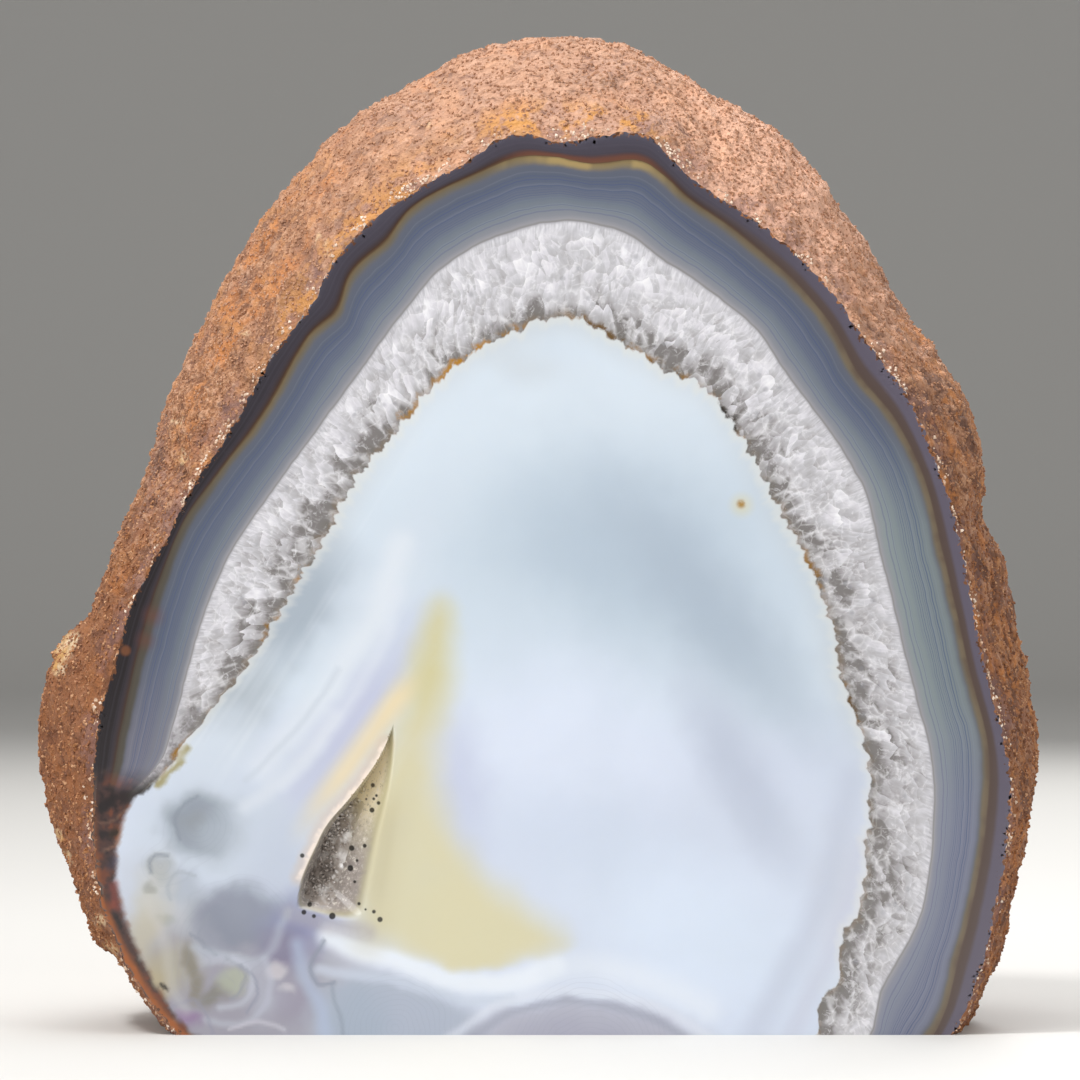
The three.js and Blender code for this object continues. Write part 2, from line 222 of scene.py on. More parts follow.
def frontRing(angles, share):
    near = faceRadius(angles)
    radius = near + (girthRadius(angles) - near) * math.sin(share * math.pi / 2)
    x, z = radius * np.cos(angles), nodule["heartHeight"] + radius * np.sin(angles)
    y = np.full_like(x, share * nodule["faceToGirth"])
    broad, fine = swelling(x, y, z)
    held = math.sin(share * math.pi)
    fineShare = 0.8 * held * (1 - share) + swell["girthShare"] * share
    out = held * swell["frontShare"] * broad + fineShare * fine
    outward = np.stack([np.cos(angles), np.zeros_like(x), np.sin(angles)], 1)
    return chipped(np.stack([x, y, z], 1) + out[:, None] * outward), outward


def backRing(angles, share):
    turn = share * math.pi / 2
    y = nodule["faceToGirth"] + nodule["girthToBack"] * math.sin(turn)
    eased = float(smoothStep(0, nodule["smoothDepth"], y - nodule["faceToGirth"]))
    wide = girthRadius(angles) * (1 - eased) + averagedRadius(angles) * eased
    radius = wide * max(math.cos(turn), 0) ** nodule["backRoundness"]
    x, z = radius * np.cos(angles), nodule["heartHeight"] + radius * np.sin(angles)
    points = np.stack([x, np.full_like(x, y), z], 1)
    broad, fine = swelling(*points.T)
    outward = points - np.array([0, nodule["faceToGirth"], nodule["heartHeight"]])
    outward = outward / np.linalg.norm(outward, axis=1)[:, None]
    fineShare = swell["girthShare"] * (1 - eased) + eased
    return chipped(points + (eased * broad + fineShare * fine)[:, None] * outward), outward


def evenShares(count):  # shares of the back's curve that lie evenly along it
    turns = np.linspace(0, math.pi / 2, 800)
    wide = girthRadius(0.0) * np.maximum(np.cos(turns), 0) ** nodule["backRoundness"]
    steps = np.hypot(np.diff(wide), nodule["girthToBack"] * np.diff(np.sin(turns)))
    lengths = np.concatenate([[0], np.cumsum(steps)])
    wanted = lengths[-1] * np.arange(1, count + 1) / (count + 1)
    return np.interp(wanted, lengths, turns / (math.pi / 2))


def ringTriangles(near, far):  # between two rings that may differ in number
    triangles = []
    i = j = 0
    nearCount, farCount = len(near), len(far)
    while i < nearCount or j < farCount:
        nearTurn = (i + 1) / nearCount if i < nearCount else 2
        farTurn = (j + 1) / farCount if j < farCount else 2
        a, b = near[i % nearCount], far[j % farCount]
        if nearTurn <= farTurn:
            i += 1
            triangles.append((a, b, near[i % nearCount]))
        else:
            j += 1
            triangles.append((a, b, far[j % farCount]))
    return triangles


def rindShell():  # points, triangles and relief of everything behind the face
    rings, outwards = [], []
    for i in range(nodule["frontRings"] + 1):
        angles = np.arange(nodule["frontCorners"]) * 2 * math.pi / nodule["frontCorners"]
        ring, outward = frontRing(angles, i / nodule["frontRings"])
        rings.append(ring)
        outwards.append(outward)
    for i, share in enumerate(evenShares(nodule["backRings"])):
        narrowed = math.cos(share * math.pi / 2) ** nodule["backRoundness"]
        thinned = float(smoothStep(0, nodule["thinOver"], i + 1))
        corners = nodule["frontCorners"] * (1 - thinned) + nodule["backCorners"] * thinned
        corners = max(7, round(corners * narrowed))
        ring, outward = backRing(np.arange(corners) * 2 * math.pi / corners, share)
        rings.append(ring)
        outwards.append(outward)
    counts = [len(ring) for ring in rings]
    starts = np.concatenate([[0], np.cumsum(counts)]).astype(int)
    points, outwards = np.concatenate(rings), np.concatenate(outwards)
    back, _ = backRing(np.zeros(1), 1)
    points = np.concatenate([points, back])
    outwards = np.concatenate([outwards, [[0, 1, 0]]])
    depth = rindRelief(points)
    calm = smoothStep(0, relief["calmEdge"], points[:, 1])
    points = points + (depth * calm)[:, None] * outwards
    edge = points[: counts[0]]
    jag = np.array([noise.noise(Vector(p) / relief["jagSize"]) for p in edge])
    fineJag = np.array([noise.noise(Vector(p) / relief["fineJagSize"]) for p in edge])
    cut = relief["jag"] * (0.5 + 0.8 * jag) + relief["fineJag"] * fineJag
    points[: counts[0]] -= np.maximum(cut, 0)[:, None] * outwards[: counts[0]]
    triangles = []
    for i in range(len(rings) - 1):
        near = range(starts[i], starts[i + 1])
        triangles += ringTriangles(near, range(starts[i + 1], starts[i + 2]))
    last = range(starts[-2], starts[-1])
    triangles += [(starts[-1], last[(k + 1) % len(last)], last[k]) for k in range(len(last))]
    return points, triangles, depth, counts[0]


# The hollow: its sharp lip and its soft far side from the tip down, and the floor between them
hollow = {
    "depth": 7.6, "rise": 0.7, "lipShare": 0.13, "slopePower": 1.15, "topTaper": 0.34,
    "bottomTaper": 0.2, "across": 46, "along": 96,
}
lipEdge = [
    (-25.6, 58.6), (-28.6, 50.8), (-33.4, 43.9), (-38.4, 38.2), (-40.7, 34), (-43.2, 28.4), (-45, 22),
]
hollowFoot = [(-45, 22), (-38, 19.6), (-31, 18.6)]
softEdge = [
    (-24.6, 58.6), (-25.4, 50.8), (-26.4, 43), (-27.6, 35), (-28.8, 28), (-30, 21), (-31, 17.6),
]


def openCurve(points, share):  # a uniform curve through the points, at a share of the way
    points = np.array(points, float)
    place = share * (len(points) - 1)
    i = np.minimum(place.astype(int), len(points) - 2)
    t = (place - i)[:, None]
    p0, p1 = points[np.maximum(i - 1, 0)], points[i]
    p2, p3 = points[i + 1], points[np.minimum(i + 2, len(points) - 1)]
    v0, v1 = (p2 - p0) / 2, (p3 - p1) / 2
    return p1 + v0 * t + (3 * (p2 - p1) - 2 * v0 - v1) * t**2 + (2 * (p1 - p2) + v0 + v1) * t**3


def floorAt(across, along):  # place on the face and depth behind it
    place = openCurve(lipEdge, along) * (1 - across)[:, None] + openCurve(softEdge, along) * across[:, None]
    wall = smoothStep(0, hollow["lipShare"], across)
    ends = smoothStep(0, hollow["topTaper"], along) * smoothStep(0, hollow["bottomTaper"], 1 - along)
    depth = hollow["depth"] * wall * (1 - across) ** hollow["slopePower"] * ends - hollow["rise"]
    return place, depth


# Where the bands lie on the face: 0 at the rind, 1 at the brown line, 2 and 3 at the quartz, 4 at the heart
def bandPlace(x, z):
    above = z - nodule["heartHeight"]
    angle, radius = np.arctan2(above, x), np.hypot(x, above)
    rind, brown = faceRadius(angle), brownRadius(angle)
    outer, inner = outerRadius(angle), innerRadius(angle)
    brown = np.minimum(brown, rind - 0.6)
    outer = np.minimum(outer, brown - 0.5)
    inner = np.minimum(inner, outer - 0.4)
    place = np.where(radius > brown, (rind - radius) / (rind - brown), 0)
    place = np.where((radius <= brown) & (radius > outer), 1 + (brown - radius) / (brown - outer), place)
    place = np.where((radius <= outer) & (radius > inner), 2 + (outer - radius) / (outer - inner), place)
    place = np.where(radius <= inner, 3 + (inner - radius) / inner, place)
    return place, rind - radius, radius - inner


facePoints = {
    "corners": 620, "bandSteps": ((0.3, 1.0, 3), (1.14, 2.0, 7), (2.14, 3.0, 7)),
    "heartSpacing": 1.3, "fineSpacing": 0.5, "fineLeftOf": -20, "fineBelow": 62, "clear": 0.75,
    "baseSpacing": 0.75, "baseTo": 45, "baseFrom": -3, "baseBelow": 16,
    "edgeLeftOf": -55, "edgeBelow": 50, "edgeClear": 1.7,
}


def ringAtPlace(place, angles):
    edges = [f(angles) for f in (faceRadius, brownRadius, outerRadius, innerRadius)]
    edges[1] = np.minimum(edges[1], edges[0] - 0.6)
    edges[2] = np.minimum(edges[2], edges[1] - 0.5)
    edges[3] = np.minimum(edges[3], edges[2] - 0.4)
    step = min(int(place), 2)
    radius = edges[step] + (edges[step + 1] - edges[step]) * (place - step)
    return np.stack([radius * np.cos(angles), nodule["heartHeight"] + radius * np.sin(angles)], 1)


def insideOutline(points, outline):
    inside = np.zeros(len(points), bool)
    x, z = points.T
    for (x0, z0), (x1, z1) in zip(outline, np.roll(outline, -1, axis=0)):
        crosses = (z0 > z) != (z1 > z)
        inside ^= crosses & (x < (x1 - x0) * (z - z0) / (z1 - z0 + 1e-12) + x0)
    return inside


def hexGrid(low, high, spacing):
    rows = np.arange(low[1], high[1], spacing * 0.866)
    parts = []
    for i, row in enumerate(rows):
        xs = np.arange(low[0] + (i % 2) * spacing / 2, high[0], spacing)
        parts.append(np.stack([xs, np.full_like(xs, row)], 1))
    return np.concatenate(parts)


def faceSheet(edge):  # points, depths and triangles of the polished face, its edge first
    flat = [edge[:, [0, 2]]]
    depths = [np.zeros(len(edge))]
    angles = np.arange(facePoints["corners"]) * 2 * math.pi / facePoints["corners"]
    for low, high, count in facePoints["bandSteps"]:
        for place in np.linspace(low, high, count):
            flat.append(ringAtPlace(place, angles))
            depths.append(np.zeros(len(angles)))
    across = np.linspace(0, 1, hollow["across"]) ** 1.25
    along = np.linspace(0, 1, hollow["along"])
    gridAcross, gridAlong = (a.ravel() for a in np.meshgrid(across, along))
    floor, floorDepth = floorAt(gridAcross, gridAlong)
    kept = floorDepth > -0.55
    rim = np.concatenate([
        floorAt(np.zeros_like(along), along)[0],
        floorAt(np.ones_like(along), along)[0][::-1],
    ])
    coarse = hexGrid((-80, -12), (62, 132), facePoints["heartSpacing"])
    fine = hexGrid((-80, -12), (facePoints["fineLeftOf"], facePoints["fineBelow"]), facePoints["fineSpacing"])
    isFine = (coarse[:, 0] < facePoints["fineLeftOf"]) & (coarse[:, 1] < facePoints["fineBelow"])
    baseLow = (facePoints["fineLeftOf"], facePoints["baseFrom"])
    baseHigh = (facePoints["baseTo"], facePoints["baseBelow"])
    base = hexGrid(baseLow, baseHigh, facePoints["baseSpacing"])
    isBase = (coarse[:, 0] > facePoints["fineLeftOf"]) & (coarse[:, 0] < facePoints["baseTo"])
    isBase &= (coarse[:, 1] > facePoints["baseFrom"]) & (coarse[:, 1] < facePoints["baseBelow"])
    heart = np.concatenate([coarse[~(isFine | isBase)], fine, base])
    above = heart[:, 1] - nodule["heartHeight"]
    angle = np.arctan2(above, heart[:, 0])
    nearEdge = (heart[:, 0] < facePoints["edgeLeftOf"]) & (heart[:, 1] < facePoints["edgeBelow"])
    limit = innerRadius(angle) - facePoints["clear"]
    limit = np.where(nearEdge, faceRadius(angle) - facePoints["edgeClear"], limit)
    heart = heart[np.hypot(heart[:, 0], above) < limit]
    grown = rim.mean(0) + (rim - rim.mean(0)) * 1.03
    heart = heart[~insideOutline(heart, grown)]
    flat += [heart, floor[kept]]
    depths += [np.zeros(len(heart)), np.maximum(floorDepth[kept], 0)]
    flat, depths = np.concatenate(flat), np.concatenate(depths)
    edges = [(i, (i + 1) % len(edge)) for i in range(len(edge))]
    made = geometry.delaunay_2d_cdt([Vector(p) for p in flat], edges, [], 1, 1e-5)
    vertices, _, triangles, origins = made[0], made[1], made[2], made[3]
    places = np.array([tuple(v) for v in vertices])
    sources = [source[0] if source else -1 for source in origins]
    depth = np.array([depths[s] if s >= 0 else 0.0 for s in sources])
    return places, depth, triangles, sources


# What is drawn on the chalcedony, millimetres on the face.
# Clouds: across, up, half length, half width, turn, softness, colour, strength; later ones on top
heartTones = {
    # upper and lower: the heart's own pale tone with a painted reflection, cyan-ish above, lavender-ish below
    "upper": "#D3DEE9", "lower": "#D0D8E8", "byQuartz": "#C9CFD4", "wine": "#45302D", "wineRed": "#74402A",
    "wineDark": "#221B1D", "rustEdge": "#A05A2A", "stain": "#D6CFAB", "stainTop": "#CCC594",
    # Along the hollow's soft edge a painted shade dulls the light its slope catches
    "strip": "#EAD8B0", "besideHollow": "#C3B997", "hollowEdgeShade": "#BDB38E", "underHollow": "#A9A2A6",
    # lip: a painted highlight along the hollow's sharp lip
    "lipShade": "#D9BBA0", "lip": "#F8E8DA",
    # The floor's tones are painted against its shading: darker at its shallow edge, paler deeper in
    "floorEdgeShade": "#B5AC88", "floor": "#F4E8CA", "floorLow": "#958A82", "floorSpots": "#8A807B",
}
clouds = [
    (3, 106, 25, 13, 0, 0.8, "#E2EBF4", 0.95),  # upper heart
    (-3, 120.6, 6, 3, -20, 1.0, "#CDD3D8", 0.5),
    (14, 87, 29, 20, -20, 0.9, "#B6C5D3", 0.8),
    (14, 90, 15, 10, -15, 1.0, "#AFBDCC", 0.5),
    (33, 74, 22, 6.5, -51, 0.95, "#A8B5C4", 0.7),
    (-4, 70, 11, 9, 0, 0.9, "#CFDBE7", 0.7),
    (3, 53, 20, 14, 0, 0.8, "#DDE5F5", 0.9),  # lower heart
    (-14, 43, 12, 4.5, 96, 0.9, "#C2C8DE", 0.75),
    (36, 47, 17, 5, -62, 0.8, "#BAC2D3", 0.75),
    (8, 35, 19, 8, -10, 0.9, "#CBD5E6", 0.7),
    (29, 18, 21, 12, -20, 0.8, "#D9E4F4", 0.9),
    (54, 26, 12, 4, 80, 0.9, "#CDD1DC", 0.7),
    (-43, 76.9, 11, 6, 52, 0.8, "#A3AEBA", 0.9),  # along the left quartz
    (-54.4, 58.9, 8, 5, 45, 0.8, "#A6AFB7", 0.85),
    (-29, 78, 20, 5, 60, 0.9, "#D2DBE6", 0.75),
    (-58.5, 50.5, 9, 5.5, 45, 0.8, "#D3DCE7", 0.9),
    (-46, 43, 12, 7, 50, 0.8, "#CBD4E1", 0.8),
    (-34, 55.5, 20, 4.6, 57, 0.8, "#BFC3DA", 0.85),
    (-58, 8, 24, 18, 0, 0.5, "#96939E", 0.9),  # lower left
    (-62, 36, 13, 12, 10, 0.5, "#C9D2DF", 0.95),
    (-52, 34, 9, 8, 40, 0.7, "#C6CFDD", 0.9),
    (-46.5, 27, 5, 9, 0, 0.8, "#BFC7D8", 0.8),
    (-61, 37.7, 8, 6.8, 0, 0.35, "#BAC3CD", 0.7),
    (-61.8, 37.9, 6.2, 5.1, 0, 0.42, "#838B97", 0.85),
    (-61.1, 37.4, 4.7, 3.9, 0, 0.4, "#9AA1AB", 0.5),
    (-62.4, 38.3, 2.6, 1.7, 0, 0.9, "#8D9399", 0.75),
    (-57.2, 35.6, 4.2, 3.6, 0, 0.7, "#B3BCC8", 0.5),
    (-71, 27, 6, 5, 60, 0.8, "#C2C8D3", 0.8),
    (-68.4, 30.4, 2.5, 2.3, 0, 0.5, "#A0A6AE", 0.7),
    (-68.2, 30.5, 1.3, 1.2, 0, 0.6, "#AFB4BC", 0.7),
    (-69.7, 26.7, 1.2, 0.9, 0, 0.5, "#8F949B", 0.85),
    (-67.9, 20.6, 1.5, 1.2, 0, 0.6, "#84888D", 0.85),
    (-64.2, 26.5, 3.3, 3, 0, 0.6, "#A6ADB9", 0.7),
    (-65, 21, 5, 3, 20, 0.9, "#BBBEC0", 0.6),
    (-59, 18, 5, 4, 0, 0.5, "#A2A6B2", 0.7),
    (-53, 20.8, 8.8, 5.4, -8, 0.48, "#7C8090", 0.9),
    (-52, 21, 5, 3, -8, 0.9, "#85899A", 0.5),
    (-57, 13.6, 7, 1.2, -12, 0.7, "#B7BAC6", 0.7),
    (-43.4, 20, 5.2, 4.6, 0, 0.8, "#7F81A8", 0.85),
    (-46, 15.2, 4, 3.4, 0, 0.7, "#7E7890", 0.9),
    (-44.5, 6.5, 4.5, 4, 30, 0.8, "#9691A2", 0.8),
    (-50, 8, 3, 5, 10, 0.8, "#AEB0BE", 0.7),
    (-71.5, 18, 10, 2.8, 75, 0.9, "#C0B89E", 0.65),
    (-69.6, 9, 5.4, 2.6, 60, 0.9, "#B9A778", 0.7),
    (-65.5, 12, 4, 4, 0, 0.8, "#A9A594", 0.6),
    (-63, 13, 3.1, 1.4, 100, 0.7, "#837D70", 0.8),
    (-61.7, 8.6, 2.8, 1.4, 80, 0.7, "#847E72", 0.8),
    (-58.3, 7.2, 3, 1.5, 35, 0.7, "#7F7C75", 0.8),
    (-55.3, 9.6, 2.6, 2.0, 20, 0.5, "#AAAE9E", 0.85),
    (-62.8, 2.6, 2.2, 1.5, 0, 0.7, "#8D7598", 0.85),
    (-26, 2, 15, 8, -12, 0.25, "#A9B1C1", 0.9),  # arches along the base
    (-33, 3, 5, 6, 0, 0.7, "#A2AEBE", 0.7),
    (7, -2.5, 21.5, 8.3, 0, 0.28, "#AFB0BE", 0.95),
    (7, -3, 13, 5.6, 0, 0.3, "#A5A5B6", 0.6),
    (-47.3, 11.7, 1.9, 1.3, 20, 0.6, "#C9C4C8", 0.8),
    (-45.4, 8.2, 1.2, 0.9, 20, 0.7, "#C4C0C6", 0.8),
]
# Ribbons: points, half width, softness, colour, strength
ribbons = [
    ([(-50, 48.4), (-45, 54), (-39, 61), (-33, 70), (-29, 76), (-25, 88)], 2.2, 1.0, "#E2E7EE", 0.6),
    ([(-46, 45), (-40, 52), (-33, 61.5), (-28, 71), (-25.5, 80)], 1.1, 1.0, "#DCE2EC", 0.5),
    ([(-53, 41), (-48, 44.6), (-42, 50), (-37, 57)], 1.3, 1.0, "#DEE3EB", 0.55),
    ([(-53, 46), (-47, 51.6), (-41, 58.6), (-36.5, 66)], 0.5, 0.9, "#C3CCD8", 0.5),
    ([(56, 46), (52.5, 30), (47.6, 17), (42, 7), (38, -1)], 2.3, 1.0, "#C0C7D8", 0.6),
    ([(58, 34), (53, 17), (48, 6), (45, -1)], 1.5, 1.0, "#C6CADA", 0.6),
    ([(-38, 17.6), (-33, 15.4), (-26, 13.6), (-19.6, 10.8), (-16, 9.6), (-6, 9.4), (2.5, 12)],
     1.9, 0.7, "#E6ECF4", 0.9),
    ([(-3, 10.4), (2.5, 12), (12, 12), (23, 8.4), (30, 4.6)], 2.4, 1.0, "#E4EAF3", 0.6),
    ([(-40, 12), (-33, 10.6), (-26, 9.6), (-19, 7.4), (-12, 6), (-5, 6.6)], 0.8, 0.9, "#C6CFDD", 0.7),
    ([(-13, -1), (-6, 3.6), (2, 5.8), (11, 5.6), (20, 3), (27, -1)], 0.7, 0.9, "#9A9DAE", 0.6),
    ([(-17, -1), (-8, 5), (2, 7.6), (13, 7.2), (23, 4), (31, -1)], 0.8, 0.9, "#DDE2EC", 0.6),
    ([(-43.6, 16), (-42.4, 11), (-39.6, 5), (-38.6, -1)], 1.3, 1.0, "#AFBDD6", 0.6),
    ([(-63, 18), (-60.8, 17), (-59.3, 15.5), (-58.2, 14.6)], 0.3, 0.95, "#858B97", 0.7),
    ([(-39, 16.9), (-41.4, 12.6), (-39.9, 9.4), (-37, 9.7)], 0.35, 0.95, "#878E9C", 0.7),
    ([(-37.3, 9.4), (-36.9, 6.3), (-35.6, 3.2), (-35.5, -1)], 0.35, 0.95, "#8E98A6", 0.6),
    ([(-56.5, 13.9), (-53.2, 11.4), (-53.8, 8.4), (-55.6, 6.6)], 0.3, 0.95, "#8E929C", 0.6),
    ([(-62, 15.5), (-58.6, 14.9), (-55, 13.8), (-51.5, 13.2), (-48.4, 15.2), (-46.8, 19), (-45.4, 22)],
     0.8, 1.0, "#B4BAC7", 0.5),
    ([(-55.3, 13.8), (-52.6, 11.9), (-51.8, 8.8), (-53.7, 6), (-57.6, 4.9)], 0.5, 1.0, "#C2C6D2", 0.5),
    ([(-54, 12.6), (-51.6, 10.6), (-50.9, 7.4), (-53, 4.4)], 0.28, 0.9, "#8C91A0", 0.6),
    ([(-49.6, 13.6), (-48.4, 9), (-50.4, 4.2), (-54.6, 2.2), (-60, 2.8)], 0.6, 1.0, "#BDC1CF", 0.45),
    ([(-66.5, 4.5), (-62.4, 6.4), (-59.8, 3.4), (-58.4, -1)], 0.3, 0.9, "#8E8FA0", 0.5),
    ([(-70.4, 24), (-67.4, 15.6), (-66.4, 8.4), (-63.6, 4)], 0.9, 1.0, "#C9C8C8", 0.3),
    ([(-70, 29.2), (-70.1, 31.2), (-68.9, 32.5), (-67, 32.4)], 0.3, 0.95, "#858B93", 0.7),
    ([(-66.6, 24.4), (-67, 27.4), (-64.9, 29.3), (-62, 28.6)], 0.28, 0.95, "#A0A6B0", 0.5),
    ([(-59.4, 21.6), (-61.4, 18.6), (-60.4, 15.9)], 0.3, 0.95, "#8A8F9B", 0.45),
    ([(-64.8, 35), (-65.9, 38), (-64.6, 41.2), (-61.6, 42.9)], 0.3, 0.95, "#868E98", 0.7),
    ([(-68.5, 9.3), (-67.3, 8.3)], 0.32, 0.5, "#3A342C", 0.9),
    ([(-56, 1.2), (-51, 2.6), (-46, 0.8)], 0.35, 0.95, "#C9C6D0", 0.6),
]
crevices = [  # drawn over the brown zone too
    ([(-63.2, 51.4), (-64.6, 50), (-65.4, 48.2), (-67, 46.6), (-68.6, 44.9)], 0.5, 0.8, "#93854C", 0.75),
    ([(-68.6, 47), (-70.4, 45.2), (-72.2, 43.6)], 0.75, 0.5, "#1C1816", 0.95),
    ([(-70.6, 45.3), (-75, 47.4)], 0.28, 0.6, "#2A2320", 0.9),
    ([(-78.6, 47.8), (-75.6, 49.6), (-71.8, 48.4)], 0.35, 0.9, "#8A7568", 0.7),
    ([(-79, 38.6), (-76.6, 39), (-74.6, 40.4)], 0.3, 0.9, "#8E6A55", 0.45),
    ([(-78.6, 33), (-76.4, 34), (-75.2, 36.6)], 0.3, 0.9, "#8F6A54", 0.6),
    ([(-71.8, 43.8), (-75, 42.6)], 0.28, 0.6, "#2A2320", 0.9),
    ([(-79, 41.6), (-77, 42.2)], 0.9, 0.6, "#1F191B", 0.9),
    ([(-77, 36.4), (-76.2, 36.8)], 0.7, 0.6, "#2A2018", 0.9),
    ([(-77.2, 30.2), (-76.8, 31.2)], 0.8, 1.0, "#38303F", 0.7),
    ([(-77, 27), (-76.2, 23.6)], 0.7, 1.0, "#8A423A", 0.6),
]
stain = {
    "outline": [
        (-17.9, 77.5), (-16.6, 72), (-16.8, 62), (-18.6, 50), (-17, 40), (-11.6, 31), (-4, 23.8), (5, 16.6),
        (-3, 13.4), (-11, 11.6), (-18, 12.4), (-26, 15.8), (-31.6, 18.6), (-34, 25), (-34, 34), (-31, 44),
        (-27.4, 53), (-24.6, 60), (-22.6, 66), (-20.4, 73),
    ],
    "strip": [(-22.6, 67), (-25.2, 61.4), (-30.2, 54.4), (-35.2, 47.5), (-40, 41), (-42.6, 36.4),
              (-44.6, 31)],
    "stripWidth": 2.0,
}
eyes = [  # across, up, radius of the grown centres
    (-61.6, 37.6, 4.4), (-68.4, 30.4, 1.8), (-53, 20.4, 7), (-60, 17.6, 3.4), (-61.8, 9.6, 2.8),
    (-56, 8.6, 2.4), (-26, 1, 9), (9, -4, 13),
]
ironSpots = [  # across, up, reach, 0 gold to 1 black
    (-14, 121.4, 7, 0.1), (-24.7, 113.6, 3, 0.25), (11.6, 126, 7, 0.75), (33.5, 111, 4.5, 1.0),
    (57, 60, 4.5, 0.8), (-43.8, 83.6, 2, 0.3), (-49, 73, 3, 0.5), (-65, 50, 3, 0.4), (50, 84, 4, 0.5),
    (53, 30, 3, 0.6), (-5, 126, 3, 0.3), (22, 119.6, 5, 0.6),
]


def srgb(code):
    return np.array([int(code[i:i + 2], 16) / 255 for i in (1, 3, 5)])


def outlineDistance(x, z, outline, closed=True):
    points = np.array(outline, float)
    ends = np.roll(points, -1, axis=0) if closed else points[1:]
    starts = points if closed else points[:-1]
    best = np.full(len(x), 1e9)
    for (x0, z0), (x1, z1) in zip(starts, ends):
        length = (x1 - x0) ** 2 + (z1 - z0) ** 2
        t = np.clip(((x - x0) * (x1 - x0) + (z - z0) * (z1 - z0)) / length, 0, 1)
        best = np.minimum(best, np.hypot(x - x0 - t * (x1 - x0), z - z0 - t * (z1 - z0)))
    return best


def noiseAt(x, z, size, layer, octaves=2):
    places = (Vector((a / size, layer, b / size)) for a, b in zip(x, z))
    return np.array([noise.fractal(place, 0.7, 2.0, octaves) for place in places])


def laid(colour, weight, code):  # one tone laid over the others
    return colour + weight[:, None] * (srgb(code) - colour)


def drawRibbons(colour, x, z, drawn):
    for points, halfWidth, softness, code, strength in drawn:
        smooth = openCurve(points, np.linspace(0, 1, 5 * len(points)))
        distance = outlineDistance(x, z, smooth, closed=False)
        weight = strength * (1 - smoothStep(halfWidth * (1 - softness), halfWidth * (1 + softness), distance))
        colour = laid(colour, weight, code)
    return colour


def paintFace(x, z, fromRind, fromInner):  # colour of each point and how far it hides the bands
    warpX = 1.5 * noiseAt(x, z, 7, 1.0) + 0.35 * noiseAt(x, z, 1.9, 5.0)
    warpZ = 1.5 * noiseAt(x, z, 7, 9.0) + 0.35 * noiseAt(x, z, 1.9, 13.0)
    wx, wz = x + warpX, z + warpZ
    # The heart's own pale tone, shifted by a painted reflection from cyan-ish above to lavender-ish below
    lower = 1 - smoothStep(48, 66, wz)
    colour = laid(np.tile(srgb(heartTones["upper"]), (len(x), 1)), lower, heartTones["lower"])
    byQuartz = (1 - smoothStep(0, 6, -fromInner)) * smoothStep(40, 60, z)
    colour = laid(colour, 0.7 * byQuartz, heartTones["byQuartz"])
    for across, above, length, width, turn, softness, code, strength in clouds:
        c, s = math.cos(math.radians(turn)), math.sin(math.radians(turn))
        dx, dz = wx - across, wz - above
        far = np.hypot((c * dx + s * dz) / length, (c * dz - s * dx) / width)
        colour = laid(colour, strength * (1 - smoothStep(1 - softness, 1 + softness, far)), code)
    colour = drawRibbons(colour, x + 0.3 * warpX, z + 0.3 * warpZ, ribbons)
    outline = closedCurve(stain["outline"], 6)
    inside = insideOutline(np.stack([x, z], 1), outline)
    distance = outlineDistance(x, z, outline) * np.where(inside, 1, -1) + 0.8 * noiseAt(x, z, 6, 21.0)
    below = smoothStep(10, 22, z)
    weight = smoothStep(-3.4 * below - 0.7, 3.9 * below + 0.9, distance)
    colour = laid(colour, 0.95 * weight, heartTones["stain"])
    colour = laid(colour, 0.7 * weight * smoothStep(52, 66, z), heartTones["stainTop"])
    strip = outlineDistance(x, z, stain["strip"], closed=False)
    wide = stain["stripWidth"]
    lasting = smoothStep(32, 47, z) * (1 - smoothStep(60, 67, z))
    colour = laid(colour, 0.85 * lasting * (1 - smoothStep(0, 1.9 * wide, strip)), heartTones["strip"])
    beside = outlineDistance(x, z, softEdge, closed=False)
    colour = laid(colour, 0.3 * (1 - smoothStep(0.2, 6, beside)) * (1 - smoothStep(36, 50, z)),
        heartTones["besideHollow"])
    # Painted shade along the hollow's soft edge, which dulls the light line its slope catches
    onFoot = smoothStep(20, 28, z) * (1 - smoothStep(36, 46, z))
    colour = laid(colour, 0.3 * onFoot * (1 - smoothStep(0.2, 2.2, beside)), heartTones["hollowEdgeShade"])
    under = outlineDistance(x, z, hollowFoot, closed=False)
    colour = laid(colour, 0.5 * (1 - smoothStep(0.1, 2.6, under)), heartTones["underHollow"])
    lip = outlineDistance(x, z, openCurve(lipEdge[:6], np.linspace(0.16, 1, 30)), closed=False)
    lip = lip + 0.3 * noiseAt(x, z, 1.3, 51.0)
    colour = laid(colour, 0.45 * (1 - smoothStep(0.6, 2.4, lip)), heartTones["lipShade"])
    # A painted highlight: a bright line along the hollow's lip
    colour = laid(colour, 0.95 * (1 - smoothStep(0.3, 0.75, lip)), heartTones["lip"])
    wineWhere = (1 - smoothStep(43, 49, z)) * (x < -55)
    wineTone = (1 - smoothStep(49, 52, z)) * (x < -55)
    mottled = noiseAt(x, z, 3.2, 31.0, 3)
    wine = np.tile(srgb(heartTones["wine"]), (len(x), 1))
    wine = laid(wine, 0.8 * smoothStep(0.05, 0.4, mottled), heartTones["wineRed"])
    wine = laid(wine, 0.8 * smoothStep(0.1, 0.45, -mottled), heartTones["wineDark"])
    rustWide = 0.8 + 1.0 * (1 - smoothStep(10, 34, z))
    wine = laid(wine, 1 - smoothStep(0.5 * rustWide, 1.5 * rustWide, fromRind + 0.5 * mottled),
        heartTones["rustEdge"])
    beyond = smoothStep(-1.1, 0.5, fromInner + 0.7 * mottled)
    colour = colour + (wineTone * beyond)[:, None] * (wine - colour)
    colour = drawRibbons(colour, x + 0.7 * mottled, z + 0.5 * warpZ, crevices)
    return colour, wineWhere


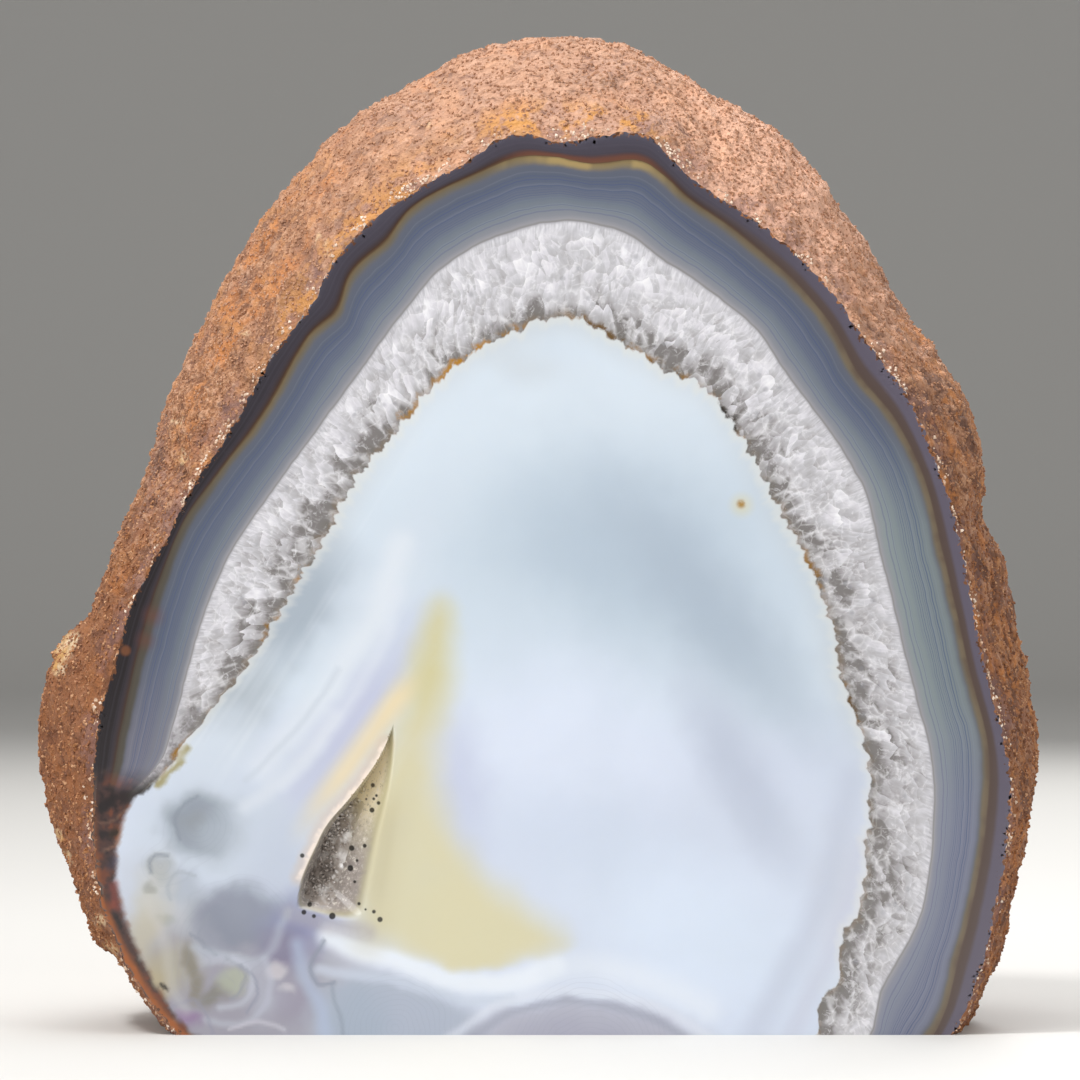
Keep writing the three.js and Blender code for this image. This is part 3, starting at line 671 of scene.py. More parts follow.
def paintFloor(colour, x, z, depth):  # grey-brown druse low in the hollow, olive-beige above
    inside = smoothStep(0.0, 0.7, depth)
    # Painted shade at the floor's shallow edge, where its slope catches the light, and painted light deeper
    # in, against the hollow's own shade
    tone = np.tile(srgb(heartTones["floorEdgeShade"]), (len(x), 1))
    tone = laid(tone, smoothStep(0.6, 2.4, depth), heartTones["floor"])
    low = (1 - smoothStep(30, 46, z + 0.5 * (x + 36))) * smoothStep(0.1, 1.4, depth)
    tone = laid(tone, low, heartTones["floorLow"])
    tone = laid(tone, 0.6 * low * smoothStep(0.1, 0.6, noiseAt(x, z, 1.3, 41.0)), heartTones["floorSpots"])
    return colour + inside[:, None] * (tone - colour)


def eyeField(x, z):  # how far a point is outside the nearest grown centre, softly joined
    total = np.zeros(len(x))
    for across, above, radius in eyes:
        distance = np.hypot(x - across, z - above) - radius
        total += np.exp(-np.maximum(distance, -radius) / 2.6)
    return -np.log(total + 1e-4)


def ironField(x, z):  # how much iron there is, and how dark it is
    amount, dark = np.zeros(len(x)), np.zeros(len(x))
    for across, above, reach, darkness in ironSpots:
        near = 1 - smoothStep(0.5 * reach, 1.3 * reach, np.hypot(x - across, z - above))
        amount, dark = np.maximum(amount, near), dark + near * darkness
    return amount, np.minimum(dark, 1)


def setLayer(mesh, name, kind, values):
    field = {"FLOAT": "value", "FLOAT_VECTOR": "vector", "FLOAT_COLOR": "color"}[kind]
    layer = mesh.attributes.new(name, kind, "POINT")
    layer.data.foreach_set(field, np.asarray(values, np.float32).ravel())


def toLinear(colour):
    return np.where(colour <= 0.04045, colour / 12.92, ((colour + 0.055) / 1.055) ** 2.4)


def toMetres(points):
    placed = np.asarray(points, float) * mm
    placed[:, 1] += faceAt
    return placed


def keepInBox(points, openBelow=False):
    low = stoneLow.copy()
    if openBelow:
        low[2] = -1  # the saw cut needs stone below the base
    return np.clip(points, low, stoneHigh)


def meshObject(name, points, faces, materials):
    mesh = bpy.data.meshes.new(name)
    mesh.from_pydata(points.tolist(), [], faces)
    for material in materials:
        mesh.materials.append(material)
    piece = bpy.data.objects.new(name, mesh)
    bpy.context.scene.collection.objects.link(piece)
    return piece


def triangleCount(piece):
    return sum(len(p.vertices) - 2 for p in piece.data.polygons)


# Materials
def linear(code):
    return (*toLinear(srgb(code)), 1.0)


def newMaterial(name):
    material = bpy.data.materials.new(name)
    material.use_nodes = True
    return material, material.node_tree, material.node_tree.nodes["Principled BSDF"]


def setInputs(tree, node, inputs):
    for key, value in inputs.items():
        if isinstance(value, bpy.types.NodeSocket):
            tree.links.new(value, node.inputs[key])
        else:
            node.inputs[key].default_value = value


def addNode(tree, kind, inputs=None, **settings):
    node = tree.nodes.new(kind)
    for key, value in settings.items():
        setattr(node, key, value)
    setInputs(tree, node, inputs or {})
    return node


def maths(tree, operation, a, b=0.0):
    return addNode(tree, "ShaderNodeMath", {0: a, 1: b}, operation=operation).outputs[0]


def times(tree, first, *others):
    for other in others:
        first = maths(tree, "MULTIPLY", first, other)
    return first


def plus(tree, first, *others):
    for other in others:
        first = maths(tree, "ADD", first, other)
    return first


def flipped(tree, value):
    return maths(tree, "SUBTRACT", 1.0, value)


def fade(tree, value, low, high):  # 0 at low, 1 at high, smooth between, either way round
    sides = {"Value": value, "From Min": low, "From Max": high}
    return addNode(tree, "ShaderNodeMapRange", sides, interpolation_type="SMOOTHSTEP").outputs[0]


def blend(tree, factor, a, b):
    node = addNode(tree, "ShaderNodeMix", data_type="RGBA")
    for socket, value in zip((node.inputs[0], node.inputs[6], node.inputs[7]), (factor, a, b)):
        if isinstance(value, bpy.types.NodeSocket):
            tree.links.new(value, socket)
        elif isinstance(value, str):
            socket.default_value = linear(value)
        else:
            socket.default_value = value
    return node.outputs[2]


def over(tree, base, tone, *weights):  # a tone laid over a colour, as strong as the weights' product
    return blend(tree, times(tree, *weights), base, tone)


def xyz(tree, vector):
    return addNode(tree, "ShaderNodeSeparateXYZ", {0: vector}).outputs


def combined(tree, *values):
    return addNode(tree, "ShaderNodeCombineXYZ", dict(enumerate(values))).outputs[0]


def objectPlace(tree):
    return addNode(tree, "ShaderNodeTexCoord").outputs["Object"]


def attributeVector(tree, name):
    return addNode(tree, "ShaderNodeAttribute", attribute_name=name).outputs["Vector"]


def blendValue(tree, factor, a, b):
    return addNode(tree, "ShaderNodeMix", {0: factor, 2: a, 3: b}, data_type="FLOAT").outputs[0]


def ramp(tree, factor, stops):
    node = addNode(tree, "ShaderNodeValToRGB", {0: factor})
    while len(node.color_ramp.elements) < len(stops):
        node.color_ramp.elements.new(1.0)
    for element, (position, colour) in zip(node.color_ramp.elements, stops):
        element.position = position
        element.color = linear(colour)
    return node.outputs[0]


def vectorMaths(tree, operation, a, b):
    return addNode(tree, "ShaderNodeVectorMath", {0: a, 1: b}, operation=operation).outputs


def scaled(tree, vector, size):
    return vectorMaths(tree, "MULTIPLY", vector, size)[0]


def millimetres(tree, place):
    return scaled(tree, place, (1000.0, 1000.0, 1000.0))


def onFace(tree, place):  # millimetres across and up, the same at any depth
    return scaled(tree, place, (1000.0, 0.0, 1000.0))


def noiseOf(tree, vector, scale, detail=2.0, rough=0.5, distortion=0.0):
    inputs = {"Vector": vector, "Scale": scale, "Detail": detail, "Roughness": rough}
    inputs["Distortion"] = distortion
    return addNode(tree, "ShaderNodeTexNoise", inputs).outputs[0]


def cellsOf(tree, vector, scale, feature="F1", randomness=1.0):
    inputs = {"Vector": vector, "Scale": scale, "Randomness": randomness}
    return addNode(tree, "ShaderNodeTexVoronoi", inputs, feature=feature)


def chanceOf(tree, cells):  # a number from 0 to 1, the same all over a cell
    return addNode(tree, "ShaderNodeSeparateColor", {0: cells.outputs["Color"]}).outputs[0]


rindLook = {
    "brown": "#9F6A42", "dark": "#67402E", "light": "#D2A484", "orange": "#C97C35", "purple": "#866460",
    "speck": "#EAD9C6", "shadow": "#5B3828", "sunlit": "#CB8C54", "lowLeft": "#8C5630", "blotch": "#56301E",
    # Painted light on the top and top right, painted shade and highlights on the far right, are among these
    # tones
    "high": "#D0A389", "rimLight": "#F2BC9E", "low": "#87502B", "rightShade": "#502F26", "rightHighlight": "#CC8240",
    "ochre": "#D08F35", "rimOchre": "#C98B42", "chip": "#EFD9B8", "chipShade": "#D8A868",
    "roughness": 0.7,
}
paleChips = [  # across, up, radius
    (-88, 68.6, 2.1), (-86.2, 70.4, 1.6), (-88.6, 66, 1.3), (-88.6, 34.5, 1.1), (-86.6, 31.6, 1.0),
    (-79.4, 20.4, 1.2), (-77.2, 15.8, 1.3), (-64.8, 104, 0.8), (-40.3, 144, 0.6), (-38.6, 141.6, 0.8),
    (-66.5, 111, 0.4), (-54, 127, 0.4), (-20, 165, 0.5),
]


def rindMaterial():
    material, tree, shader = newMaterial("rustyRind")
    place = objectPlace(tree)
    pitDepth = addNode(tree, "ShaderNodeAttribute", attribute_name="relief").outputs["Fac"]
    band = xyz(tree, attributeVector(tree, "band"))
    side = xyz(tree, millimetres(tree, place))
    flow = combined(tree, times(tree, band[1], 0.42), side[1], times(tree, side[1], 0.3))
    inFront = fade(tree, side[1], 8.0, -12.0)
    inFront = times(tree, inFront, fade(tree, side[0], -52.0, -22.0))
    broad = noiseOf(tree, place, 42, 3, 0.55, 0.4)
    patches = noiseOf(tree, place, 95, 4, 0.6, 0.6)
    grains = blendValue(tree, inFront, noiseOf(tree, place, 800, 4, 0.7), noiseOf(tree, flow, 0.95, 4, 0.7))
    finest = noiseOf(tree, place, 2300, 2, 0.6)
    cells = cellsOf(tree, place, 1150)
    base = [(0.32, rindLook["dark"]), (0.48, rindLook["brown"]), (0.68, rindLook["light"])]
    colour = ramp(tree, grains, base)
    colour = over(tree, colour, rindLook["orange"], fade(tree, patches, 0.48, 0.64), 0.75)
    colour = over(tree, colour, rindLook["purple"], fade(tree, broad, 0.5, 0.68), 0.45)
    shadowed = fade(tree, noiseOf(tree, place, 155, 4, 0.65, 0.5), 0.51, 0.62)
    colour = over(tree, colour, rindLook["shadow"], shadowed, 0.7)
    sunlit = fade(tree, noiseOf(tree, place, 125, 4, 0.65, 0.8), 0.53, 0.65)
    colour = over(tree, colour, rindLook["sunlit"], sunlit, 0.65)
    # Painted shade in the pits of the relief and a painted highlight on its knobs
    pitShade = fade(tree, pitDepth, -0.1, -0.7)
    colour = over(tree, colour, rindLook["dark"], pitShade, 0.45)
    knobHighlight = fade(tree, pitDepth, 0.15, 0.6)
    colour = over(tree, colour, rindLook["light"], knobHighlight, 0.5)
    speck = fade(tree, finest, 0.64, 0.74)
    colour = over(tree, colour, rindLook["speck"], speck, 0.6)
    lowLeft = fade(tree, side[0], -62.0, -80.0)
    lowLeft = times(tree, lowLeft, fade(tree, side[2], 105.0, 70.0))
    colour = over(tree, colour, rindLook["lowLeft"], lowLeft, 0.7)
    blotches = fade(tree, noiseOf(tree, place, 175, 4, 0.65), 0.51, 0.6)
    colour = over(tree, colour, rindLook["blotch"], lowLeft, blotches, 0.75)
    # Painted light: the rind paler towards the top, where the light from above falls, less so on the left
    topLight = times(tree, fade(tree, side[2], 90.0, 145.0), 0.62)
    leftToTop = plus(tree, times(tree, fade(tree, side[0], -52.0, -10.0), 0.8), 0.2)
    topLight = times(tree, topLight, leftToTop)
    colour = over(tree, colour, rindLook["high"], topLight, fade(tree, grains, 0.24, 0.52))
    # A painted rim light on the rind's top right
    rimLightMask = times(tree, fade(tree, side[0], 12.0, 40.0), fade(tree, side[2], 112.0, 145.0))
    colour = over(tree, colour, rindLook["rimLight"], rimLightMask, fade(tree, grains, 0.24, 0.52), 0.55)
    redder = fade(tree, side[2], 110.0, 30.0)
    colour = over(tree, colour, rindLook["low"], redder, 0.5)
    # Dark and orange patches on the rind's far right: painted shade and painted highlights
    farRight = fade(tree, side[0], 50.0, 66.0)
    rightShade = fade(tree, noiseOf(tree, place, 185, 4, 0.65, 0.6), 0.49, 0.58)
    colour = over(tree, colour, rindLook["rightShade"], farRight, rightShade, 0.6)
    rightHighlight = fade(tree, noiseOf(tree, place, 140, 4, 0.65, 0.9), 0.54, 0.63)
    colour = over(tree, colour, rindLook["rightHighlight"], farRight, rightHighlight, 0.6)
    bent = addNode(tree, "ShaderNodeTexNoise", {"Vector": place, "Scale": 320.0, "Detail": 2.0})
    bent = vectorMaths(tree, "SUBTRACT", bent.outputs["Color"], (0.5, 0.5, 0.5))[0]
    bent = scaled(tree, bent, (5.0, 0.0, 5.0))
    spots = vectorMaths(tree, "ADD", onFace(tree, place), bent)[0]
    chipMask = times(tree, dotMask(tree, spots, paleChips, 0.8), fade(tree, side[1], -9.0, -18.0))
    chipTone = ramp(tree, patches, [(0.4, rindLook["chip"]), (0.6, rindLook["chipShade"])])
    colour = over(tree, colour, chipTone, chipMask, 0.8)
    byFace = fade(tree, side[1], -38.0, -46.0)
    purpleEdge = times(tree, byFace, fade(tree, noiseOf(tree, place, 130, 2, 0.5), 0.42, 0.6))
    colour = over(tree, colour, rindLook["purple"], purpleEdge, 0.55)
    onTop = times(tree, fade(tree, side[2], 158.0, 166.0), byFace)
    ochre = times(tree, onTop, fade(tree, noiseOf(tree, place, 190, 3, 0.6), 0.46, 0.56))
    colour = over(tree, colour, rindLook["ochre"], ochre, 0.85)
    atLeft = times(tree, fade(tree, side[0], -14.0, -24.0), fade(tree, side[2], 116.0, 132.0))
    rimOchre = times(tree, atLeft, byFace, fade(tree, noiseOf(tree, place, 210, 3, 0.6), 0.42, 0.54))
    colour = over(tree, colour, rindLook["rimOchre"], rimOchre, 0.7)
    height = plus(tree, grains, times(tree, finest, 0.13), times(tree, cells.outputs["Distance"], 0.25))
    bump = addNode(tree, "ShaderNodeBump", {"Height": height, "Strength": 1.0, "Distance": 0.001}).outputs[0]
    setInputs(tree, shader, {"Base Color": colour, "Normal": bump, "Roughness": rindLook["roughness"]})
    return material


bandLook = {
    "outerRight": "#67606F", "outerLeft": "#252021", "outerLine": "#625C6A", "tan": "#B39B66",
    "glow": "#7A4C3C", "olive": "#47443F", "brown": "#574842", "edgeTan": "#80735C", "left": "#59606E",
    "lowLeft": "#7D7A86", "middle": "#93A09B", "lowRight": "#85889C", "line": "#4E597C", "pale": "#959BA8",
}
quartzLook = {
    "white": "#F1F0F3", "pale": "#D8D6DC", "greyPale": "#BFBEC2", "grey": "#AEABAE", "dark": "#7F7B7A",
    "seam": "#F0EFF3", "vein": "#F8F7F9", "fleck": "#F4F3F7", "speck": "#8C8C93",
    "furDark": "#B3B2B8", "furPale": "#DCDBE0", "mottleDark": "#8E8B8E", "mottlePale": "#BCBABF",
}
agateLook = {
    "ironGold": "#B8842A", "ironDark": "#2A251E", "underTips": "#6A655C",
    "streak": "#EDF1F5", "contour": "#8A92A2", "fringe": "#E3E2DB", "cloud": "#BCC6D2",
    "dot": "#171310", "gritLight": "#E4DCD0", "gritDark": "#7A7064",
    "spotHalo": "#D9CFA2", "spot": "#A47A28", "bandSpot": "#7A4C30", "bandStain": "#6E4036",
    "polish": 0.13,
}
bandStops = [  # from the rind over the brown line to the quartz
    (0.0, "#56545F"), (0.12, "#4C4854"), (0.34, "#443F49"), (0.41, "#3D3335"), (0.45, "#433026"),
    (0.485, "#584430"), (0.51, "#6E6049"), (0.54, "#67635C"), (0.575, "#5F6370"), (0.64, "#5A6172"),
    (0.76, "#656C7D"), (0.87, "#788089"), (0.95, "#8A8C94"), (0.975, "#98989D"), (0.99, "#8C898A"),
    (1.0, "#ADACB2"),
]
rimGrains = [(0.1, "#5C3B28"), (0.4, "#9A6642"), (0.75, "#C08C66"), (0.95, "#EBD8C4")]
quartzIndex = 1.54  # how strongly quartz bends light
hollowDots = [  # across, up, radius
    (-30.2, 44.8, 0.38), (-29.5, 43, 0.26), (-30, 42.4, 0.26), (-29.1, 41.7, 0.34), (-30.3, 40.4, 0.46),
    (-31.4, 42.3, 0.18), (-34, 33.5, 0.5), (-31.6, 34, 0.36), (-33, 31.3, 0.26), (-34.2, 29.9, 0.55),
    (-33.4, 27.5, 0.28), (-41.5, 23.4, 0.42), (-42.5, 22.1, 0.44), (-40.7, 21.4, 0.36), (-37.4, 21.4, 0.58),
    (-32.6, 23.6, 0.3), (-31.4, 22.6, 0.2), (-29.9, 22.2, 0.34), (-28.8, 20.8, 0.48), (-42.8, 32.3, 0.4),
]


def centred(tree, value, size):  # a 0 to 1 noise turned to swing round zero
    return times(tree, maths(tree, "SUBTRACT", value, 0.5), size)


def lineNoise(tree, value, scale, detail=2.0):
    inputs = {"W": value, "Scale": scale, "Detail": detail, "Roughness": 0.6}
    return addNode(tree, "ShaderNodeTexNoise", inputs, noise_dimensions="1D").outputs[0]


def teeth(tree, value, size):  # 0 at the middle of each crystal along the edge, about a half between two
    inputs = {"W": value, "Scale": 1.0 / size, "Randomness": 0.85}
    return addNode(tree, "ShaderNodeTexVoronoi", inputs, voronoi_dimensions="1D").outputs["Distance"]


def bandColours(tree, where, along, side):
    colour = ramp(tree, maths(tree, "DIVIDE", where, 2.0), bandStops)
    outer = fade(tree, where, 0.9, 0.55)
    right, height = side
    colour = over(tree, colour, bandLook["outerRight"], outer, fade(tree, right, 20.0, 70.0), 0.75)
    leftward = fade(tree, right, -20.0, -70.0)
    colour = over(tree, colour, bandLook["outerLeft"], outer, leftward, 0.95)
    tanBand = times(tree, fade(tree, where, 0.97, 1.03), fade(tree, where, 1.16, 1.05))
    topOnly = times(tree, fade(tree, right, -10.0, 0.0), fade(tree, right, 27.0, 16.0))
    topOnly = plus(tree, times(tree, topOnly, fade(tree, height, 120.0, 140.0), 0.75), 0.03)
    uneven = plus(tree, times(tree, fade(tree, lineNoise(tree, along, 0.16, 2.0), 0.35, 0.6), 0.6), 0.4)
    colour = over(tree, colour, bandLook["tan"], tanBand, topOnly, uneven)
    glow = times(tree, fade(tree, where, 0.66, 0.88), fade(tree, where, 1.0, 0.93))
    colour = over(tree, colour, bandLook["glow"], glow, topOnly, 0.8)
    olive = times(tree, fade(tree, where, 0.86, 0.98), fade(tree, where, 1.2, 1.06))
    farLeft = fade(tree, right, -48.0, -72.0)
    colour = over(tree, colour, bandLook["olive"], olive, farLeft, 0.8)
    rightward = fade(tree, right, 15.0, 55.0)
    brownBand = times(tree, fade(tree, where, 0.5, 0.7), fade(tree, where, 1.1, 1.0))
    colour = over(tree, colour, bandLook["brown"], brownBand, rightward, 0.9)
    edgeTan = times(tree, fade(tree, where, 0.92, 1.02), fade(tree, where, 1.12, 1.04))
    colour = over(tree, colour, bandLook["edgeTan"], edgeTan, rightward, uneven, 0.5)
    banded = times(tree, fade(tree, where, 1.08, 1.2), fade(tree, where, 1.97, 1.86))
    colour = over(tree, colour, bandLook["left"], banded, leftward, 0.3)
    lowLeft = times(tree, farLeft, fade(tree, height, 74.0, 48.0))
    colour = over(tree, colour, bandLook["lowLeft"], banded, lowLeft, 0.6)
    middle = times(tree, fade(tree, height, 30.0, 60.0), fade(tree, height, 115.0, 85.0))
    colour = over(tree, colour, bandLook["middle"], banded, middle, rightward, 0.45)
    lowRight = times(tree, rightward, fade(tree, height, 66.0, 36.0))
    colour = over(tree, colour, bandLook["lowRight"], banded, lowRight, 0.55)
    grouped = times(tree, fade(tree, lineNoise(tree, where, 4.3, 1.0), 0.4, 0.62), 0.6)
    inMiddle = times(tree, fade(tree, where, 1.22, 1.34), fade(tree, where, 1.66, 1.52))
    grouped = maths(tree, "MAXIMUM", grouped, inMiddle)
    lines = fade(tree, lineNoise(tree, where, 40.0, 2.0), 0.5, 0.62)
    colour = over(tree, colour, bandLook["line"], lines, grouped, banded, 0.72)
    pale = fade(tree, lineNoise(tree, plus(tree, where, 7.3), 16.0, 2.0), 0.52, 0.72)
    colour = over(tree, colour, bandLook["pale"], pale, banded, 0.16)
    outerLines = times(tree, outer, fade(tree, lineNoise(tree, plus(tree, where, 3.1), 12.0, 2.0), 0.45, 0.7))
    return over(tree, colour, bandLook["outerLine"], outerLines, 0.1)


def crystalLayer(tree, along, inward, across, deep, warp, lean):  # tone and seams of one size of crystals
    leaning = plus(tree, along, times(tree, inward, lean))
    cell = combined(tree, plus(tree, maths(tree, "DIVIDE", leaning, across), warp),
        plus(tree, maths(tree, "DIVIDE", inward, deep), warp))
    points = cellsOf(tree, cell, 1.0)
    seams = cellsOf(tree, cell, 1.0, "DISTANCE_TO_EDGE").outputs["Distance"]
    local = vectorMaths(tree, "SUBTRACT", cell, points.outputs["Position"])[0]
    lit = vectorMaths(tree, "DOT_PRODUCT", local, (0.5, 0.8, 0.0))["Value"]
    tone = plus(tree, centred(tree, chanceOf(tree, points), 0.62), times(tree, lit, 0.36))
    return tone, seams


def quartzColours(tree, place, along, inward, height):
    warp = centred(tree, noiseOf(tree, place, 420, 2, 0.5), 0.55)
    lean = centred(tree, noiseOf(tree, place, 75, 1, 0.5), 0.9)
    largeTone, largeSeam = crystalLayer(tree, along, inward, 3.3, 5.6, warp, lean)
    smallTone, smallSeam = crystalLayer(tree, along, inward, 1.5, 2.3, warp, lean)
    outward = fade(tree, plus(tree, inward, centred(tree, noiseOf(tree, place, 120, 2, 0.5), 7.0)), 4.0, 9.0)
    tone = blendValue(tree, outward, largeTone, times(tree, smallTone, 0.55))
    seam = blendValue(tree, outward, largeSeam, smallSeam)
    tone = plus(tree, tone, times(tree, fade(tree, inward, 1.0, 11.0), 0.24), 0.23)
    tone = plus(tree, tone, times(tree, fade(tree, height, 20.0, 140.0), 0.15))
    grey = fade(tree, noiseOf(tree, place, 95, 2, 0.5), 0.36, 0.56)
    grey = times(tree, grey, fade(tree, inward, 7.0, 1.5))
    tone = maths(tree, "SUBTRACT", tone, times(tree, grey, 0.3))
    acrossFibres = plus(tree, times(tree, along, 1.3), times(tree, inward, lean))
    fibres = noiseOf(tree, combined(tree, acrossFibres, times(tree, inward, 0.3)), 1.0, 3.0, 0.6)
    tone = plus(tree, tone, centred(tree, fibres, 0.4), centred(tree, noiseOf(tree, place, 210, 3, 0.6), 0.7))
    quartz = ramp(tree, tone, [
        (0.1, quartzLook["dark"]), (0.32, quartzLook["grey"]), (0.52, quartzLook["greyPale"]),
        (0.72, quartzLook["pale"]), (0.95, quartzLook["white"])])
    white = fade(tree, seam, 0.2, 0.0)
    patchy = fade(tree, noiseOf(tree, place, 330, 3, 0.6), 0.4, 0.6)
    soft = blendValue(tree, outward, 0.5, 0.22)
    quartz = over(tree, quartz, quartzLook["seam"], white, patchy, soft)
    veins = fade(tree, cellsOf(tree, place, 380, "DISTANCE_TO_EDGE").outputs["Distance"], 0.07, 0.0)
    quartz = over(tree, quartz, quartzLook["vein"], veins, patchy, 0.25)
    flecks = fade(tree, noiseOf(tree, place, 620, 4, 0.7, 0.8), 0.53, 0.66)
    quartz = over(tree, quartz, quartzLook["fleck"], flecks, 0.4)
    specks = fade(tree, cellsOf(tree, place, 420).outputs["Distance"], 0.3, 0.1)
    fewer = fade(tree, noiseOf(tree, place, 160, 1, 0.5), 0.5, 0.6)
    return over(tree, quartz, quartzLook["speck"], specks, fewer, 0.4)


def dotMask(tree, spots, places, softness):  # 1 on any of the spots
    nearest = None
    for across, above, radius in places:
        far = vectorMaths(tree, "DISTANCE", spots, (across, 0.0, above))["Value"]
        far = maths(tree, "SUBTRACT", far, radius)
        nearest = far if nearest is None else maths(tree, "MINIMUM", nearest, far)
    return fade(tree, nearest, softness, -softness)


def agateMaterial():
    material, tree, shader = newMaterial("polishedAgate")
    place = objectPlace(tree)
    band, grow, iron = (xyz(tree, attributeVector(tree, name)) for name in ("band", "grow", "iron"))
    painted = addNode(tree, "ShaderNodeAttribute", attribute_name="painted")
    side = xyz(tree, millimetres(tree, place))
    along, fromRind, inward = band[1], band[2], grow[1]
    flatMm = onFace(tree, place)

    wobble = centred(tree, noiseOf(tree, place, 110, 2, 0.5), 0.09)
    ripple = centred(tree, noiseOf(tree, place, 420, 2, 0.5), 0.03)
    where = plus(tree, band[0], wobble, ripple)
    colour = bandColours(tree, where, along, (side[0], side[2]))

    # Quartz, with a fur of fine crystals where it starts
    quartz = quartzColours(tree, place, along, inward, side[2])
    fur = noiseOf(tree, combined(tree, times(tree, along, 2.6), times(tree, inward, 0.35)), 1.0)
    furTone = ramp(tree, fur, [(0.35, quartzLook["furDark"]), (0.65, quartzLook["furPale"])])
    quartz = over(tree, quartz, furTone, fade(tree, band[0], 2.2, 2.0), 0.75)

    ending = fade(tree, plus(tree, side[0], side[2]), 4.0, -18.0)
    ending = times(tree, ending, fade(tree, side[0], -48.0, -58.0))
    mottleStops = [(0.4, quartzLook["mottleDark"]), (0.6, quartzLook["mottlePale"])]
    mottle = ramp(tree, noiseOf(tree, place, 900, 3, 0.6), mottleStops)
    quartz = over(tree, quartz, mottle, ending, 0.85)

    # The inner edge of the quartz is a row of crystal tips
    tips = plus(tree, inward, times(tree, maths(tree, "SUBTRACT", 0.27, teeth(tree, along, 3.9)), 1.5))
    tips = plus(tree, tips, times(tree, maths(tree, "SUBTRACT", 0.26, teeth(tree, along, 1.7)), 0.6))
    tips = plus(tree, tips, centred(tree, noiseOf(tree, place, 300, 3, 0.55), 2.2))
    heart = painted.outputs["Color"]
    fringe = times(tree, fade(tree, tips, -2.4, -0.2),
        maths(tree, "SUBTRACT", 0.4, times(tree, fade(tree, tips, 0.2, 0.8), 0.4)))
    fringe = times(tree, fringe, flipped(tree, painted.outputs["Alpha"]))
    heart = over(tree, heart, agateLook["fringe"], fringe, fade(tree, side[2], 4.0, 20.0))
    cloud = noiseOf(tree, place, 30, 3, 0.5, 0.3)
    heart = over(tree, heart, agateLook["cloud"], fade(tree, cloud, 0.45, 0.75), 0.2)
    slanted = addNode(tree, "ShaderNodeMapping", {
        "Vector": place, "Rotation": (0.0, math.radians(33), 0.0), "Scale": (0.0042, 1.0, 0.07)},
        vector_type="TEXTURE")
    streaks = fade(tree, noiseOf(tree, slanted.outputs[0], 1.0, 3, 0.6), 0.5, 0.75)
    leftSide = times(tree, fade(tree, side[0], -14.0, -44.0), fade(tree, side[2], 40.0, 56.0))
    heart = over(tree, heart, agateLook["streak"], streaks, leftSide, 0.24)
    field = plus(tree, grow[0], centred(tree, noiseOf(tree, place, 150, 2, 0.5), 0.9))
    near = fade(tree, field, 1.1, 0.1)
    rings = fade(tree, maths(tree, "SINE", times(tree, field, 17.0)), 0.6, 1.0)
    heart = over(tree, heart, agateLook["contour"], rings, near, 0.09)

    # Iron in places along the tips
    atTips = times(tree, fade(tree, tips, -0.5, 0.1), fade(tree, tips, 1.5, 0.25))
    uneven = fade(tree, noiseOf(tree, place, 480, 3, 0.65), 0.4, 0.58)
    ironAmount = times(tree, atTips, uneven, plus(tree, times(tree, iron[0], 0.85), 0.1))
    ironColour = blend(tree, iron[1], agateLook["ironGold"], agateLook["ironDark"])
    shade = times(tree, fade(tree, tips, 2.6, 0.0), fade(tree, tips, -0.02, 0.05), 0.5)
    quartz = blend(tree, shade, quartz, agateLook["underTips"])

    colour = blend(tree, fade(tree, where, 1.985, 2.03), colour, quartz)
    overBands = maths(tree, "MAXIMUM", fade(tree, tips, 0.14, -0.3), painted.outputs["Alpha"])
    colour = blend(tree, overBands, colour, heart)
    colour = over(tree, colour, ironColour, ironAmount, flipped(tree, painted.outputs["Alpha"]))

    # Grit on the hollow's floor, dark dots, two rusty spots
    deep = fade(tree, grow[2], 0.5, 2.0)
    grit = noiseOf(tree, place, 1300, 3, 0.7)
    colour = over(tree, colour, agateLook["gritLight"], deep, fade(tree, grit, 0.5, 0.68), 0.7)
    colour = over(tree, colour, agateLook["gritDark"], deep, fade(tree, grit, 0.46, 0.3), 0.5)
    colour = over(tree, colour, agateLook["dot"], dotMask(tree, flatMm, hollowDots, 0.14), 0.92)
    halo = dotMask(tree, flatMm, [(36.3, 95.4, 1.6)], 1.5)
    colour = over(tree, colour, agateLook["spotHalo"], halo, 0.55)
    colour = over(tree, colour, agateLook["spot"], dotMask(tree, flatMm, [(36.2, 95.6, 0.7)], 0.5), uneven,
        0.9)
    colour = over(tree, colour, agateLook["bandSpot"], dotMask(tree, flatMm, [(-74.6, 69.2, 0.9)], 0.4), 0.75)
    colour = over(tree, colour, agateLook["bandStain"],
        dotMask(tree, flatMm, [(-69.6, 75.4, 1.2), (-71, 71, 1.0)], 1.8), 0.5)

    # Where the rind begins the face is broken up into its grains
    grainTone = chanceOf(tree, cellsOf(tree, place, 1500))
    ragged = plus(tree, fromRind, centred(tree, noiseOf(tree, place, 700, 3, 0.7), 3.4))
    ragged = plus(tree, ragged, centred(tree, grainTone, 0.9))
    rim = fade(tree, ragged, 0.6, 0.35)
    colour = blend(tree, rim, colour, ramp(tree, grainTone, rimGrains))

    setInputs(tree, shader, {
        "Base Color": colour, "Roughness": agateLook["polish"], "IOR": quartzIndex, "Subsurface Weight": 0.2,
        "Subsurface Radius": (1.0, 0.9, 0.8), "Subsurface Scale": 0.001})
    return material


